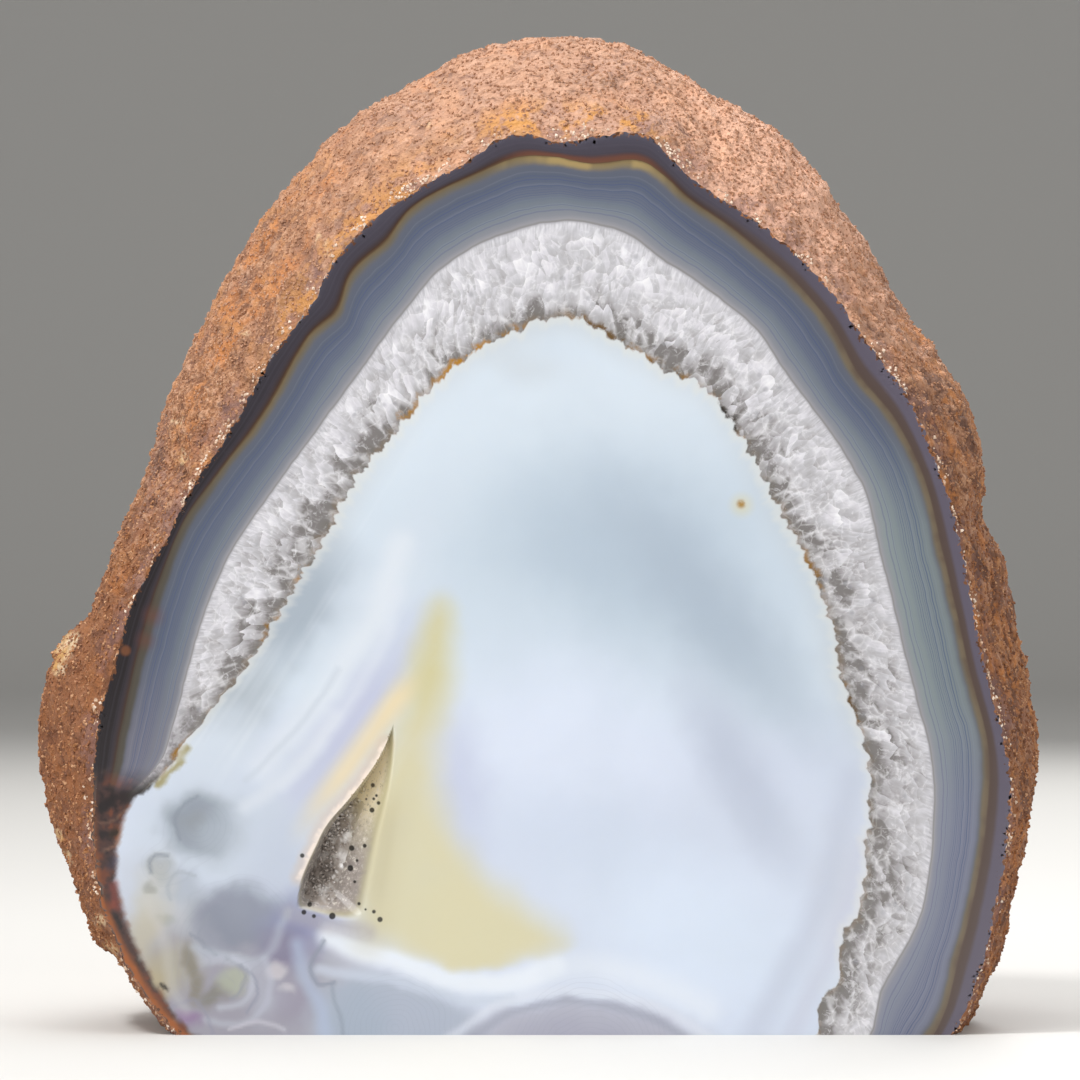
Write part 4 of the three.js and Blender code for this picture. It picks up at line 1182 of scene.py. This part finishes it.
def sawnMaterial():
    material, tree, shader = newMaterial("sawnBase")
    place = objectPlace(tree)
    saw = addNode(tree, "ShaderNodeMapping", {"Vector": place, "Scale": (60.0, 1500.0, 1.0)})
    marks = noiseOf(tree, saw.outputs[0], 1.0, 2, 0.6)
    stone = noiseOf(tree, place, 55, 4, 0.6, 0.8)
    colour = ramp(tree, stone, [(0.3, "#8F8B8C"), (0.45, "#B9BBC2"), (0.62, "#CDD2DA"), (0.75, "#A58A70")])
    colour = over(tree, colour, "#9A9694", marks, 0.25)
    bump = addNode(tree, "ShaderNodeBump", {"Height": marks, "Strength": 0.3, "Distance": 0.0002}).outputs[0]
    setInputs(tree, shader, {"Base Color": colour, "Normal": bump, "Roughness": 0.55})
    return material


def druseMaterial():
    material, tree, shader = newMaterial("druseQuartz")
    place = objectPlace(tree)
    patches = noiseOf(tree, place, 260, 3, 0.6)
    # Grey-brown druse with pale patches, the palest partly a painted glint of its crystals
    colour = ramp(tree, patches, [(0.3, "#857B74"), (0.5, "#A99F97"), (0.7, "#EEEAE8")])
    across = xyz(tree, millimetres(tree, place))[0]
    colour = over(tree, colour, "#D8CCA6", fade(tree, across, -35.5, -30.0), 0.85)
    setInputs(tree, shader, {"Base Color": colour, "Roughness": 0.12, "IOR": quartzIndex, "Coat Weight": 0.5})
    return material


def grainMaterial(name, tones, roughness, grainTopLight):  # each grain takes the tone of its own place
    material, tree, shader = newMaterial(name)
    place = objectPlace(tree)
    own = ramp(tree, chanceOf(tree, cellsOf(tree, place, 950)), tones)
    colour = blend(tree, centred(tree, noiseOf(tree, place, 1900, 2, 0.6), 0.6), own, grit["rust"])
    height = xyz(tree, millimetres(tree, place))[2]
    # Painted light: grains paler higher up, where the light from above falls
    colour = over(tree, colour, grainTopLight, fade(tree, height, 80.0, 135.0), 0.75)
    setInputs(tree, shader, {"Base Color": colour, "Roughness": roughness})
    return material


# The stone
def buildStone():
    rindPoints, rindTriangles, depth, edgeCount = rindShell()
    places, faceDepth, faceTriangles, sources = faceSheet(rindPoints[:edgeCount])
    offset = len(rindPoints)
    index = [s if 0 <= s < edgeCount else offset + i for i, s in enumerate(sources)]
    flatFace = np.stack([places[:, 0], faceDepth, places[:, 1]], 1)
    points = np.concatenate([rindPoints, flatFace])
    turned = []
    for a, b, c in faceTriangles:
        (xa, za), (xb, zb), (xc, zc) = places[a], places[b], places[c]
        counter = (xb - xa) * (zc - za) - (xc - xa) * (zb - za) > 0
        turned.append((index[a], index[b], index[c]) if counter else (index[a], index[c], index[b]))
    materials = [rindMaterial(), agateMaterial(), sawnMaterial()]
    piece = meshObject("geode_body", keepInBox(toMetres(points), openBelow=True), rindTriangles + turned,
        materials)
    mesh = piece.data
    slots = np.zeros(len(mesh.polygons), np.int32)
    slots[len(rindTriangles):] = 1
    mesh.polygons.foreach_set("material_index", slots)

    x, y, z = points.T
    place, fromRind, fromInner = bandPlace(x, z)
    setLayer(mesh, "band", "FLOAT_VECTOR", np.stack([place, alongRim(x, z), fromRind], 1))
    faceX, faceZ, faceY = x[offset:], z[offset:], y[offset:]
    painted = np.tile([0.3, 0.2, 0.15, 0.0], (len(points), 1))
    colour, overBands = paintFace(faceX, faceZ, fromRind[offset:], fromInner[offset:])
    colour = paintFloor(colour, faceX, faceZ, faceY)
    painted[offset:] = np.concatenate([toLinear(colour), overBands[:, None]], 1)
    setLayer(mesh, "painted", "FLOAT_COLOR", painted)
    amount, dark = ironField(x, z)
    setLayer(mesh, "iron", "FLOAT_VECTOR", np.stack([amount, dark, np.zeros(len(x))], 1))
    setLayer(mesh, "grow", "FLOAT_VECTOR", np.stack([eyeField(x, z), fromInner, y * (place > 2.5)], 1))
    setLayer(mesh, "relief", "FLOAT", np.concatenate([depth, np.zeros(len(flatFace))]))
    gritDensity = np.where(y < nodule["faceToGirth"] * 1.15, 1.0, 0.3)
    gritDensity = gritDensity * (y > 0.5) * (z > 0.6) * (place < 0.2)
    gritDensity[offset:] = 0
    setLayer(mesh, "grit", "FLOAT", gritDensity)
    clustered = np.array([noise.noise(Vector(p) / 5) for p in points])
    onEdge = (1 - smoothStep(0.3, 2.2, y)) * (z > 0.6) * smoothStep(-0.25, 0.45, clustered)
    onEdge[offset:] = 0
    setLayer(mesh, "edge", "FLOAT", onEdge)

    work = bmesh.new()
    work.from_mesh(mesh)
    loose = [v for v in work.verts if not v.link_faces]
    bmesh.ops.delete(work, geom=loose, context="VERTS")
    everything = work.verts[:] + work.edges[:] + work.faces[:]
    bmesh.ops.bisect_plane(work, geom=everything, dist=1e-7, plane_co=(0, 0, 0), plane_no=(0, 0, 1),
        clear_inner=True)
    for vertex in work.verts:
        vertex.co.z = max(vertex.co.z, 0.0)  # the cut rounds a hair below
    rim = [e for e in work.edges if e.is_boundary]
    filled = bmesh.ops.holes_fill(work, edges=rim, sides=0)["faces"]
    for face in filled:
        face.material_index = 2
    bmesh.ops.triangulate(work, faces=work.faces[:])
    bmesh.ops.recalc_face_normals(work, faces=work.faces[:])
    work.to_mesh(mesh)
    work.free()
    mesh.set_sharp_from_angle(angle=math.radians(42))
    return piece


# Scattering by Geometry Nodes
def scatterTree(name):
    tree = bpy.data.node_groups.new(name, "GeometryNodeTree")
    tree.is_modifier = True
    face = tree.interface
    face.new_socket("Geometry", in_out="INPUT", socket_type="NodeSocketGeometry")
    face.new_socket("Geometry", in_out="OUTPUT", socket_type="NodeSocketGeometry")
    for label, kind in (
        ("Grain", "Object"), ("Weight", "String"), ("Density", "Float"), ("Smallest", "Float"),
        ("Largest", "Float"), ("Lean", "Float"), ("Seed", "Int"), ("Finish", "Material"),
    ):
        face.new_socket(label, in_out="INPUT", socket_type="NodeSocket" + kind)
    start = addNode(tree, "NodeGroupInput").outputs
    weight = addNode(tree, "GeometryNodeInputNamedAttribute", {"Name": start["Weight"]},
        data_type="FLOAT").outputs[0]
    density = times(tree, start["Density"], weight)
    spread = addNode(tree, "GeometryNodeDistributePointsOnFaces", {
        "Mesh": start["Geometry"], "Density": density, "Seed": start["Seed"]})
    lean = addNode(tree, "FunctionNodeRandomValue", {
        "Min": (-1.0, -1.0, -math.pi), "Max": (1.0, 1.0, math.pi), "Seed": start["Seed"]},
        data_type="FLOAT_VECTOR")
    leanSize = combined(tree, start["Lean"], start["Lean"], 1.0)
    leaned = scaled(tree, lean.outputs[0], leanSize)
    turned = addNode(tree, "FunctionNodeRotateRotation", {
        "Rotation": spread.outputs["Rotation"],
        "Rotate By": addNode(tree, "FunctionNodeEulerToRotation", {0: leaned}).outputs[0],
    }, rotation_space="LOCAL")
    size = addNode(tree, "FunctionNodeRandomValue", {
        2: start["Smallest"], 3: start["Largest"], "Seed": start["Seed"]}, data_type="FLOAT")
    info = addNode(tree, "GeometryNodeObjectInfo", {"Object": start["Grain"]})
    placed = addNode(tree, "GeometryNodeInstanceOnPoints", {
        "Points": spread.outputs["Points"], "Instance": info.outputs["Geometry"],
        "Rotation": turned.outputs[0], "Scale": size.outputs[1]})
    real = addNode(tree, "GeometryNodeRealizeInstances", {0: placed.outputs[0]})
    finished = addNode(tree, "GeometryNodeSetMaterial", {
        "Geometry": real.outputs[0], "Material": start["Finish"]})
    addNode(tree, "NodeGroupOutput", {0: finished.outputs[0]})
    return tree


def scatterOn(source, tree, name, values):  # a new plain mesh object of what the tree makes on the source
    modifier = source.modifiers.new("scatter", "NODES")
    modifier.node_group = tree
    sockets = {item.name: item.identifier for item in tree.interface.items_tree if item.in_out == "INPUT"}
    for label, value in values.items():
        modifier[sockets[label]] = value
    bpy.context.view_layer.update()
    evaluated = source.evaluated_get(bpy.context.evaluated_depsgraph_get())
    mesh = bpy.data.meshes.new_from_object(evaluated)
    source.modifiers.remove(modifier)
    mesh.name = name
    piece = bpy.data.objects.new(name, mesh)
    bpy.context.scene.collection.objects.link(piece)
    placed = np.empty(len(mesh.vertices) * 3, np.float32)
    mesh.vertices.foreach_get("co", placed)
    mesh.vertices.foreach_set("co", keepInBox(placed.reshape(-1, 3)).ravel().astype(np.float32))
    mesh.update()
    return piece


def grainShape():  # an uneven eight-sided grain, one unit across
    corners = [(0.5, 0.06, -0.08), (-0.46, 0.1, 0.1), (0.05, 0.48, 0.04), (-0.08, -0.44, -0.06),
        (0.08, 0.02, 0.4), (0, 0, -0.45)]
    faces = [(0, 2, 4), (2, 1, 4), (1, 3, 4), (3, 0, 4), (2, 0, 5), (1, 2, 5), (3, 1, 5), (0, 3, 5)]
    return meshObject("grainShape", np.array(corners), faces, [])


def crystalShape():  # a six-sided quartz point, one unit long, its foot under the surface
    corners = []
    for height, radius in ((-0.3, 0.2), (0.45, 0.22)):
        for k in range(6):
            turn = k * math.pi / 3
            corners.append((radius * math.cos(turn), radius * math.sin(turn), height))
    corners.append((0.03, -0.02, 0.75))
    faces = [(5, 4, 3, 2, 1, 0)]
    for k in range(6):
        after = (k + 1) % 6
        faces += [(k, after, 6 + after, 6 + k), (6 + k, 6 + after, 12)]
    return meshObject("crystalShape", np.array(corners), faces, [])


grit = {
    "density": 0.85e6, "smallest": 0.0004, "largest": 0.001,
    "edgeDensity": 1.9e6, "edgeSmallest": 0.0003, "edgeLargest": 0.0011, "lean": 3.1, "seed": 7,
    # the tones for higher up are painted light from above
    "tones": [(0.1, "#74482F"), (0.4, "#99633F"), (0.75, "#AA7447"), (0.95, "#C99A74")], "grainTopLight": "#B68A6E",
    "edgeTones": [(0.1, "#B98E6C"), (0.5, "#D9BCA2"), (0.9, "#EDDCCB")], "edgeGrainTopLight": "#E4CDB9",
    "rust": "#7A4C32",
}
druse = {
    "fromAcross": 0.08, "toAcross": 0.56, "fromAlong": 0.3, "toAlong": 0.93, "columns": 26, "rows": 60,
    "thickness": 0.6, "clearOfFace": 0.3,
    "density": 3.2e6, "smallest": 0.0004, "largest": 0.0014, "lean": 0.7, "seed": 11,
}


def buildGrit(stone, tree):
    grain = grainShape()
    finish = grainMaterial("rindGrains", grit["tones"], 0.7, grit["grainTopLight"])
    piece = scatterOn(stone, tree, "rind_grains", {
        "Grain": grain, "Weight": "grit", "Density": grit["density"], "Smallest": grit["smallest"],
        "Largest": grit["largest"], "Lean": grit["lean"], "Seed": grit["seed"], "Finish": finish})
    pale = grainMaterial("edgeGrains", grit["edgeTones"], 0.5, grit["edgeGrainTopLight"])
    rim = scatterOn(stone, tree, "edge_grains", {
        "Grain": grain, "Weight": "edge", "Density": grit["edgeDensity"], "Smallest": grit["edgeSmallest"],
        "Largest": grit["edgeLargest"], "Lean": grit["lean"], "Seed": grit["seed"] + 1, "Finish": pale})
    bpy.data.objects.remove(grain)
    return piece, rim


def buildDruse(tree):
    across = np.linspace(druse["fromAcross"], druse["toAcross"], druse["columns"])
    along = np.linspace(druse["fromAlong"], druse["toAlong"], druse["rows"])
    gridAcross, gridAlong = (a.ravel() for a in np.meshgrid(across, along))
    place, depth = floorAt(gridAcross, gridAlong)
    bumps = np.array([noise.noise(Vector((p[0], p[1], 3.0)) / 0.9) for p in place])
    sideways = (gridAcross - druse["fromAcross"]) / (druse["toAcross"] - druse["fromAcross"])
    lengthwise = (gridAlong - druse["fromAlong"]) / (druse["toAlong"] - druse["fromAlong"])
    full = smoothStep(0, 0.15, sideways) * smoothStep(0, 0.7, 1 - sideways)
    full = full * smoothStep(0, 0.35, lengthwise) * smoothStep(0, 0.12, 1 - lengthwise)
    behind = np.maximum(depth + 0.25, druse["clearOfFace"] + 0.5)
    front = np.maximum(depth + 0.12 - (druse["thickness"] + 0.3 * bumps) * full, druse["clearOfFace"])
    points = np.concatenate([
        np.stack([place[:, 0], front, place[:, 1]], 1), np.stack([place[:, 0], behind, place[:, 1]], 1)])
    rows, columns = druse["rows"], druse["columns"]
    count = rows * columns
    faces = []
    for i in range(rows - 1):
        for j in range(columns - 1):
            a = i * columns + j
            faces.append((a, a + columns, a + columns + 1, a + 1))
            faces.append((count + a, count + a + 1, count + a + columns + 1, count + a + columns))
    rim = [(0, j) for j in range(columns - 1)] + [(i, columns - 1) for i in range(rows - 1)]
    rim += [(rows - 1, j) for j in range(columns - 1, 0, -1)] + [(i, 0) for i in range(rows - 1, 0, -1)]
    for (i0, j0), (i1, j1) in zip(rim, rim[1:] + rim[:1]):
        a, b = i0 * columns + j0, i1 * columns + j1
        faces.append((a, b, count + b, count + a))
    finish = druseMaterial()
    crust = meshObject("druse_crust", toMetres(points), faces, [finish])
    setLayer(crust.data, "grit", "FLOAT", np.concatenate([full**1.5, np.zeros(count)]))
    work = bmesh.new()
    work.from_mesh(crust.data)
    bmesh.ops.recalc_face_normals(work, faces=work.faces[:])
    work.to_mesh(crust.data)
    work.free()
    shape = crystalShape()
    points = scatterOn(crust, tree, "druse_crystals", {
        "Grain": shape, "Weight": "grit", "Density": druse["density"], "Smallest": druse["smallest"],
        "Largest": druse["largest"], "Lean": druse["lean"], "Seed": druse["seed"], "Finish": finish})
    bpy.data.objects.remove(shape)
    return crust, points


# Floor, light and camera
studio = {"floor": "#D9D7D3", "world": 0.28}


def buildFloor():
    width, front, back, bend, height = 5.0, -3.0, 2.2, 0.8, 2.6
    profile = [(front, 0.0), (back, 0.0)]
    turns = np.linspace(0.1, math.pi / 2, 16)
    profile += [(back + bend * math.sin(t), bend - bend * math.cos(t)) for t in turns]
    profile.append((back + bend, height))
    points = [(x, y, z) for y, z in profile for x in (-width, width)]
    faces = [(2 * i, 2 * i + 1, 2 * i + 3, 2 * i + 2) for i in range(len(profile) - 1)]
    material, tree, shader = newMaterial("studioFloor")
    setInputs(tree, shader, {"Base Color": linear(studio["floor"]), "Roughness": 0.6})
    floor = meshObject("studio_floor", np.array(points), faces, [material])
    for polygon in floor.data.polygons:
        polygon.use_smooth = True


def areaLight(name, place, target, size, power, tint=(1, 1, 1)):
    light = bpy.data.lights.new(name, "AREA")
    light.shape = "RECTANGLE"
    light.size, light.size_y = size
    light.energy = power
    light.color = tint
    holder = bpy.data.objects.new(name, light)
    holder.location = place
    holder.rotation_euler = (Vector(target) - Vector(place)).to_track_quat("-Z", "Y").to_euler()
    bpy.context.scene.collection.objects.link(holder)


def buildStudio():
    scene = bpy.context.scene
    world = bpy.data.worlds.new("studio")
    world.use_nodes = True
    world.node_tree.nodes["Background"].inputs[0].default_value = (1, 1, 1, 1)
    world.node_tree.nodes["Background"].inputs[1].default_value = studio["world"]
    scene.world = world
    scene.view_settings.view_transform = "Standard"
    middle = (0, 0, 0.09)
    areaLight("keyLeft", (-0.75, -0.75, 0.65), middle, (0.6, 0.6), 4.7)
    areaLight("keyRight", (0.8, -0.7, 0.6), middle, (0.6, 0.6), 3.6)
    areaLight("topSoft", (0, 0.1, 1.1), middle, (0.9, 0.9), 6)
    areaLight("rake", (-0.45, -0.3, 0.95), middle, (0.16, 0.16), 6.5)
    areaLight("backSoft", (0.3, 1.0, 0.7), middle, (0.6, 0.6), 5)
    lens = bpy.data.cameras.new("photo")
    lens.sensor_width = camera["sensor"]
    lens.lens = camera["sensor"] * camera["distance"] / camera["frameWidth"]
    holder = bpy.data.objects.new("photo", lens)
    holder.location = (0, faceAt - camera["distance"], camera["height"])
    holder.rotation_euler = (math.radians(90), 0, 0)
    scene.collection.objects.link(holder)
    scene.camera = holder


buildStudio()
buildFloor()
stonePiece = buildStone()
print("stone", triangleCount(stonePiece), "triangles")
scatter = scatterTree("scatterGrains")
gritPiece, edgePiece = buildGrit(stonePiece, scatter)
print("grit", triangleCount(gritPiece), triangleCount(edgePiece), "triangles")
crustPiece, crystalPiece = buildDruse(scatter)
print("druse", triangleCount(crustPiece) + triangleCount(crystalPiece), "triangles")

for piece in (stonePiece, gritPiece, edgePiece, crustPiece, crystalPiece):
    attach(piece, "root")
for piece in (stonePiece, gritPiece, edgePiece):
    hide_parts("geode_stone")
for piece in (crustPiece, crystalPiece):
    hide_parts("hollow_druse")
